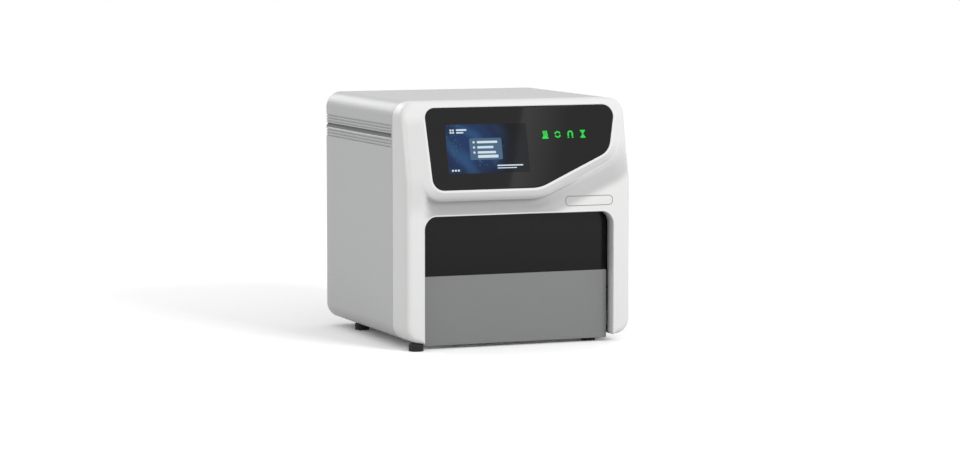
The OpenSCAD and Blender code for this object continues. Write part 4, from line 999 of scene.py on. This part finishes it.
# insulators with their tongues, and contacts, set back inside the shells of three ports; each row is the
# port's middle, the block's span across, to the rear and up from there, and its corner radius
ports = {"z": body["foot"] + 60, "floor": rearY - 17.5, "inserts": (
    (60, (-6, 6), (0, 3), (-2.5, 2.5), 0.4), (60, (-5.4, 5.4), (2.8, 12.3), (0.1, 1.9), 0.3),
    (90, (-5.25, 5.25), (0, 3), (-4.75, 4.75), 0.4), (90, (-2.9, 2.9), (2.8, 12.1), (-1.9, 1.9), 0.4),
    (122, (-7.25, 7.25), (0, 1.5), (-6, 6), 0.4), (122, (-7.25, 7.25), (1.4, 13.1), (2.6, 6), 0.3),
    (122, (-7.25, -5.85), (1.4, 13.1), (-6, 2.7), 0.3), (122, (5.85, 7.25), (1.4, 13.1), (-6, 2.7), 0.3)),
    "contacts": (
        *((122, (-3.85 + 1.1 * i, -3.45 + 1.1 * i), (1.4, 10.5), (1.6, 2.2), 0.1) for i in range(8)),
        *((60, (-4 + 2.6 * i, -3 + 2.6 * i), (2.9, 11.5), (-0.3, 0.15), 0.1) for i in range(4)))}


def portBlocks(name, rows, finish):
    blocks = []
    for x, (x0, x1), depths, (z0, z1), r in rows:
        loop = plate(x + x0, ports["z"] + z0, x + x1, ports["z"] + z1, r, 3)
        blocks.append([[(a, ports["floor"] + y, b) for a, b in loop] for y in depths])
    blockPiece(name, blocks, finish, "dark_plastic")


portBlocks("portInserts", ports["inserts"], "blackPlastic")
portBlocks("portContacts", ports["contacts"], "contactGold")

# motors: axis, direction of the rear end, length and length of an end cap
motorPlan = {"drawer_motor": (0, -1, 20.0, 4.5), "gantry_motor": (1, 1, 34.0, 8.0),
             "lift_motor": (2, 1, 34.0, 8.0), "magnet_motor": (2, 1, 34.0, 8.0)}
motorForm = {"corner": 4.5, "stackCorner": 6.0, "stackIn": 0.3, "sheet": 1.6, "groove": 0.2, "soft": 0.5,
             "boss": 11.0, "bolt": 15.5, "boltHead": (5.6, 1.1), "sunk": 0.7, "lap": 0.2}


def motorPieces(node, axis, rear, length, cap):
    # square stepper motor: laminated stack between two cast end caps, with a centring boss
    low, high = boxOf(node)
    centre, half = (low + high) / 2, (high - low)[(axis + 1) % 3] / 2
    end, tip = (high[axis], low[axis]) if rear > 0 else (low[axis], high[axis])
    front = end - rear * length
    form, tag, rider = motorForm, node.split("_")[0] + "Motor", bodyOf[node]

    def ringAt(t, loop):
        ring = []
        for p, q in loop:
            at = np.array(centre, float)
            at[axis] = t
            at[(axis + 1) % 3] += p
            at[(axis + 2) % 3] += q
            ring.append(tuple(at))
        return ring

    def square(t, reach, corner):
        return ringAt(t, plate(-reach, -reach, reach, reach, corner, 3))

    soft, groove, boss = form["soft"], form["groove"], form["boss"]
    capForm = ((0, soft), (soft, 0), (cap - soft, 0), (cap, soft))
    caps = [[square(start + rear * t, half - pull, form["corner"]) for t, pull in capForm]
            for start in (front, end - rear * cap)]
    if abs(tip - front) > 1:
        caps.append([ringAt(t, onArc(0, 0, r, range(0, 360, 10))) for t, r in (
            (front + rear * 0.3, boss), (tip + rear * soft, boss), (tip, boss - soft))])
    run = length - 2 * (cap - form["lap"])
    count = int(run / form["sheet"])
    start, pitch = front + rear * (cap - form["lap"]), run / count
    stack = [square(start + rear * pitch * (k + t), half - form["stackIn"] - pull, form["stackCorner"])
             for k in range(count) for t, pull in ((0, 0), (0.55, 0), (0.65, groove), (0.9, groove))]
    blockPiece(tag + "Stack", [stack], "motorBlack", slotOf[node], rider, [node])
    blockPiece(tag + "Caps", caps, "castAluminium", "frame_metal", rider)
    corners = [(s * form["bolt"], t * form["bolt"]) for s in (-1, 1) for t in (-1, 1)]
    bolts = ringAt(end - rear * form["sunk"], corners)
    facing = [float(rear) if i == axis else 0.0 for i in range(3)]
    addHeads(tag + "Screws", rider, "frame_metal", bolts, facing, *form["boltHead"], recess=0.5)


for name, plan in motorPlan.items():
    motorPieces(name, *plan)
print("motors made:", len(motorPlan))

threads = {"pitch": 4.0, "ridge": 0.9, "axes": {"gantry_screw": 1, "lift_screw": 2, "magnet_screw": 2}}
for name, axis in threads["axes"].items():
    low, high = boxOf(name)
    start = (low + high) / 2
    start[axis] = low[axis]
    place = Matrix.Translation(Vector(start) * mm)
    if axis == 1:
        place = place @ Matrix.Rotation(-pi / 2, 4, "X")
    values = {"Diameter": high[0] - low[0], "Pitch": threads["pitch"], "Length": high[axis] - low[axis],
              "Ridge": threads["ridge"]}
    values = {label: float(value) * mm for label, value in values.items()}
    grow(name.split("_")[0] + "Thread", screwThread, values, "groundShaft", bodyOf[name], slotOf[name],
         [(0, 0, 0)], place=place, replaces=[name])
print("screw shafts made")

# heads: diameter and height, then what places them
heads = {"panel": (7, 2), "guard": (6.4, 1.6), "inlet": (5, 1.2), "deck": (4.6, 1.6), "rail": (5.4, 0.25),
         "carrier": (5.4, 2.2), "panelX": body["w"] / 2 - 24, "fan": (-105, topZ - 95), "lugs": (59, 1.8),
         "inletAt": (-145, 74), "inletHalf": 20.5, "railFace": 172, "railZ": 204, "railPitch": 25,
         "liftRailX": 70, "carrierZ": 261}


def screwSpots():
    # for each set the body, slot, places, facing, size
    rear, low, x = rearY - 4, body["foot"], heads["panelX"]
    panel = [(s * x, z) for z in (low + 40, topZ - 60, low + body["h"] / 2) for s in (-1, 1)]
    panel += [(s * 60, topZ - 14) for s in (-1, 1)]
    yield "panelScrews", "chassis", "zinc", [(a, rear, b) for a, b in panel], (0, 1, 0), heads["panel"]
    reach, out = heads["lugs"]
    lugs = [(a, rear + out, b) for a, b in onArc(*heads["fan"], reach, (45, 135, 225, 315))]
    yield "guardScrews", "chassis", "zinc", lugs, (0, 1, 0), heads["guard"]
    inletX, inletZ = heads["inletAt"]
    inlet = [(inletX + s * heads["inletHalf"], rear + 2.5, inletZ) for s in (-1, 1)]
    yield "inletScrews", "chassis", "zinc", inlet, (0, 1, 0), heads["inlet"]
    low, high = boxOf("plate_deck")
    deck = [(a, b, high[2]) for a in (low[0] + 4, -46, 46, high[0] - 4) for b in (low[1] + 4, high[1] - 4)]
    yield "deckScrews", bodyOf["plate_deck"], "shaft", deck, (0, 0, 1), heads["deck"]
    low, high = boxOf("gantry_rails")
    for side, tag in ((-1, "left"), (1, "right")):
        rail = [(side * heads["railFace"], b, heads["railZ"])
                for b in np.arange(low[1] + 14, high[1] - 8, heads["railPitch"])]
        yield tag + "RailScrews", "chassis", "shaft", rail, (-side, 0, 0), heads["rail"]
    low, high = boxOf("lift_rails")
    rail = [(s * heads["liftRailX"], low[1], b) for s in (-1, 1)
            for b in np.arange(low[2] + 10, high[2] - 6, heads["railPitch"])]
    yield "liftRailScrews", bodyOf["lift_rails"], "shaft", rail, (0, -1, 0), heads["rail"]
    low, high = boxOf("magnet_carrier")
    middle = (low[1] + high[1]) / 2
    cap = [(s * a, middle + b, heads["carrierZ"]) for s in (-1, 1) for a in (30, 80) for b in (-22, 22)]
    yield "carrierScrews", bodyOf["magnet_carrier"], "shaft", cap, (0, 0, 1), heads["carrier"]


for name, rider, slot, points, facing, size in screwSpots():
    swap = ["housing_screws"] if name == "panelScrews" else ()
    addHeads(name, rider, slot, points, facing, *size, replaces=swap)
print("screws made")

boards = {"seeds": {"main_board": 5, "driver_board": 9}, "face": 7.6, "inset": 5}
for name, seed in boards["seeds"].items():
    low, high = boxOf(name)
    y, inset = low[1] + boards["face"], boards["inset"]
    x0, x1, z0, z1 = low[0] + inset, high[0] - inset, low[2] + inset, high[2] - inset
    grow(name.split("_")[0] + "BoardParts", smallParts, {"Seed": seed}, "chipBlack", "chassis", "board",
         [(x1, y, z0), (x0, y, z0), (x0, y, z1), (x1, y, z1)], faces=[(0, 1, 2, 3)])
print("board parts made")

# camera, lights and floor
shot = {"place": (-2.0795, -5.2867, 0.7305), "yaw": 21.534, "pitch": 5.383, "lens": 119.11,
        "sensor_width": 36, "clip_end": 50}
camera = addObject("camera", bpy.data.cameras.new("camera"))
camera.location = shot["place"]
camera.rotation_euler = (radians(90 - shot["pitch"]), 0, -radians(shot["yaw"]))
for field in ("lens", "sensor_width", "clip_end"):
    setattr(camera.data, field, shot[field])
scene.camera = camera

lamps = {"keyLamp": {"place": (1.4, -3.75, 2.2), "size": 1.4, "power": 72.0},
         "sideLamp": {"place": (-3.8, -1.8, 1.5), "size": 2.4, "power": 12.0}}
lampTarget = Vector((0, 0, 0.22))
for name, plan in lamps.items():
    data = bpy.data.lights.new(name, "AREA")
    data.size = plan["size"]
    data.energy = plan["power"]
    lamp = addObject(name, data)
    lamp.location = plan["place"]
    lamp.visible_glossy = False
    lamp.rotation_euler = (lampTarget - lamp.location).to_track_quat("-Z", "Y").to_euler()


def seenRays(tree):
    # 1 for what the eye, gloss or glass sees, 0 for the light that falls on things
    rays = addNode(tree, "ShaderNodeLightPath")
    seen = mathNode(tree, "MAXIMUM", rays["Is Camera Ray"], rays["Is Glossy Ray"])
    return mathNode(tree, "MAXIMUM", seen, rays["Is Transmission Ray"])


# floorShown: distance from the middle and the floor's seen brightness there; its darker near end is painted
# shade round the part
studio = {"light": 0.62, "shown": 1.0, "floorHalf": 12, "floorLight": (0.6, 0.6, 0.6, 1),
          "floorShown": (0.3, 1.5, 1.42, 1.62)}
world = bpy.data.worlds.new("studio")
scene.world = world
world.use_nodes = True
tree = world.node_tree
tree.links.new(ranged(tree, seenRays(tree), toLow=studio["light"], toHigh=studio["shown"]),
               tree.nodes["Background"].inputs["Strength"])
tree.nodes["Background"].inputs["Color"].default_value = (1, 1, 1, 1)
scene.view_settings.view_transform = "Standard"


def stagePiece(name, points, faces, addShader):
    mesh = bpy.data.meshes.new(name)
    mesh.from_pydata(points, [], faces)
    material, tree, _ = newMaterial(name + "Paint")
    tree.links.new(addShader(tree)[0], tree.nodes["Material Output"].inputs["Surface"])
    mesh.materials.append(material)
    return addObject(name, mesh)


def floorShader(tree):
    # plain and pale, with painted shade that makes it a little darker near the part
    place = addNode(tree, "ShaderNodeTexCoord")["Object"]
    away = addNode(tree, "ShaderNodeVectorMath", {0: place}, operation="LENGTH")["Value"]
    tone = mixed(tree, seenRays(tree), studio["floorLight"], ranged(tree, away, *studio["floorShown"]))
    return addNode(tree, "ShaderNodeBsdfDiffuse", {"Color": tone})


def cardShader(tree):
    level = addNode(tree, "ShaderNodeAttribute", attribute_name="glow")["Fac"]
    return addNode(tree, "ShaderNodeEmission", {"Strength": level})


def addCard(name, points, faces, glow):
    # soft white card that only gloss shows
    card = stagePiece(name, points, faces, cardShader)
    card.data.attributes.new("glow", "FLOAT", "POINT").data.foreach_set("value", glow)
    for ray in ("camera", "diffuse", "transmission", "volume_scatter", "shadow"):
        setattr(card, "visible_" + ray, False)
    return card


half = studio["floorHalf"]
floor = stagePiece("floor", [(-half, -half, 0), (half, -half, 0), (half, half, 0), (-half, half, 0)],
                   [(0, 1, 2, 3)], floorShader)

# card that the display glass shows, with a leaning left edge
card = {"edge": (1.583, -3.760, 1.912), "along": (0.057, 0.084, 0.232), "down": 2.6, "up": 6.24,
        "across": (0.927, 0.375, 0), "steps": (0.0, 0.15, 2.4), "glow": (2.0, 0.94, 0.94)}
edge, along, across = (Vector(card[key]) for key in ("edge", "along", "across"))
studioCard = addCard("studioCard", [edge + along * t + across * s for t in (-card["down"], card["up"])
                                    for s in card["steps"]], [(0, 1, 4, 3), (1, 2, 5, 4)], card["glow"] * 2)

# card behind and above, which the cover's rounded upper left edge shows
rim = {"x": (-2.3, -0.1), "y": 2.8, "z": (1.0, 3.0), "glow": 4.6}
rimCorners = [(rim["x"][i], rim["y"], rim["z"][j]) for i, j in ((0, 0), (1, 0), (1, 1), (0, 1))]
addCard("rimCard", rimCorners, [(0, 1, 2, 3)], [rim["glow"]] * 4)
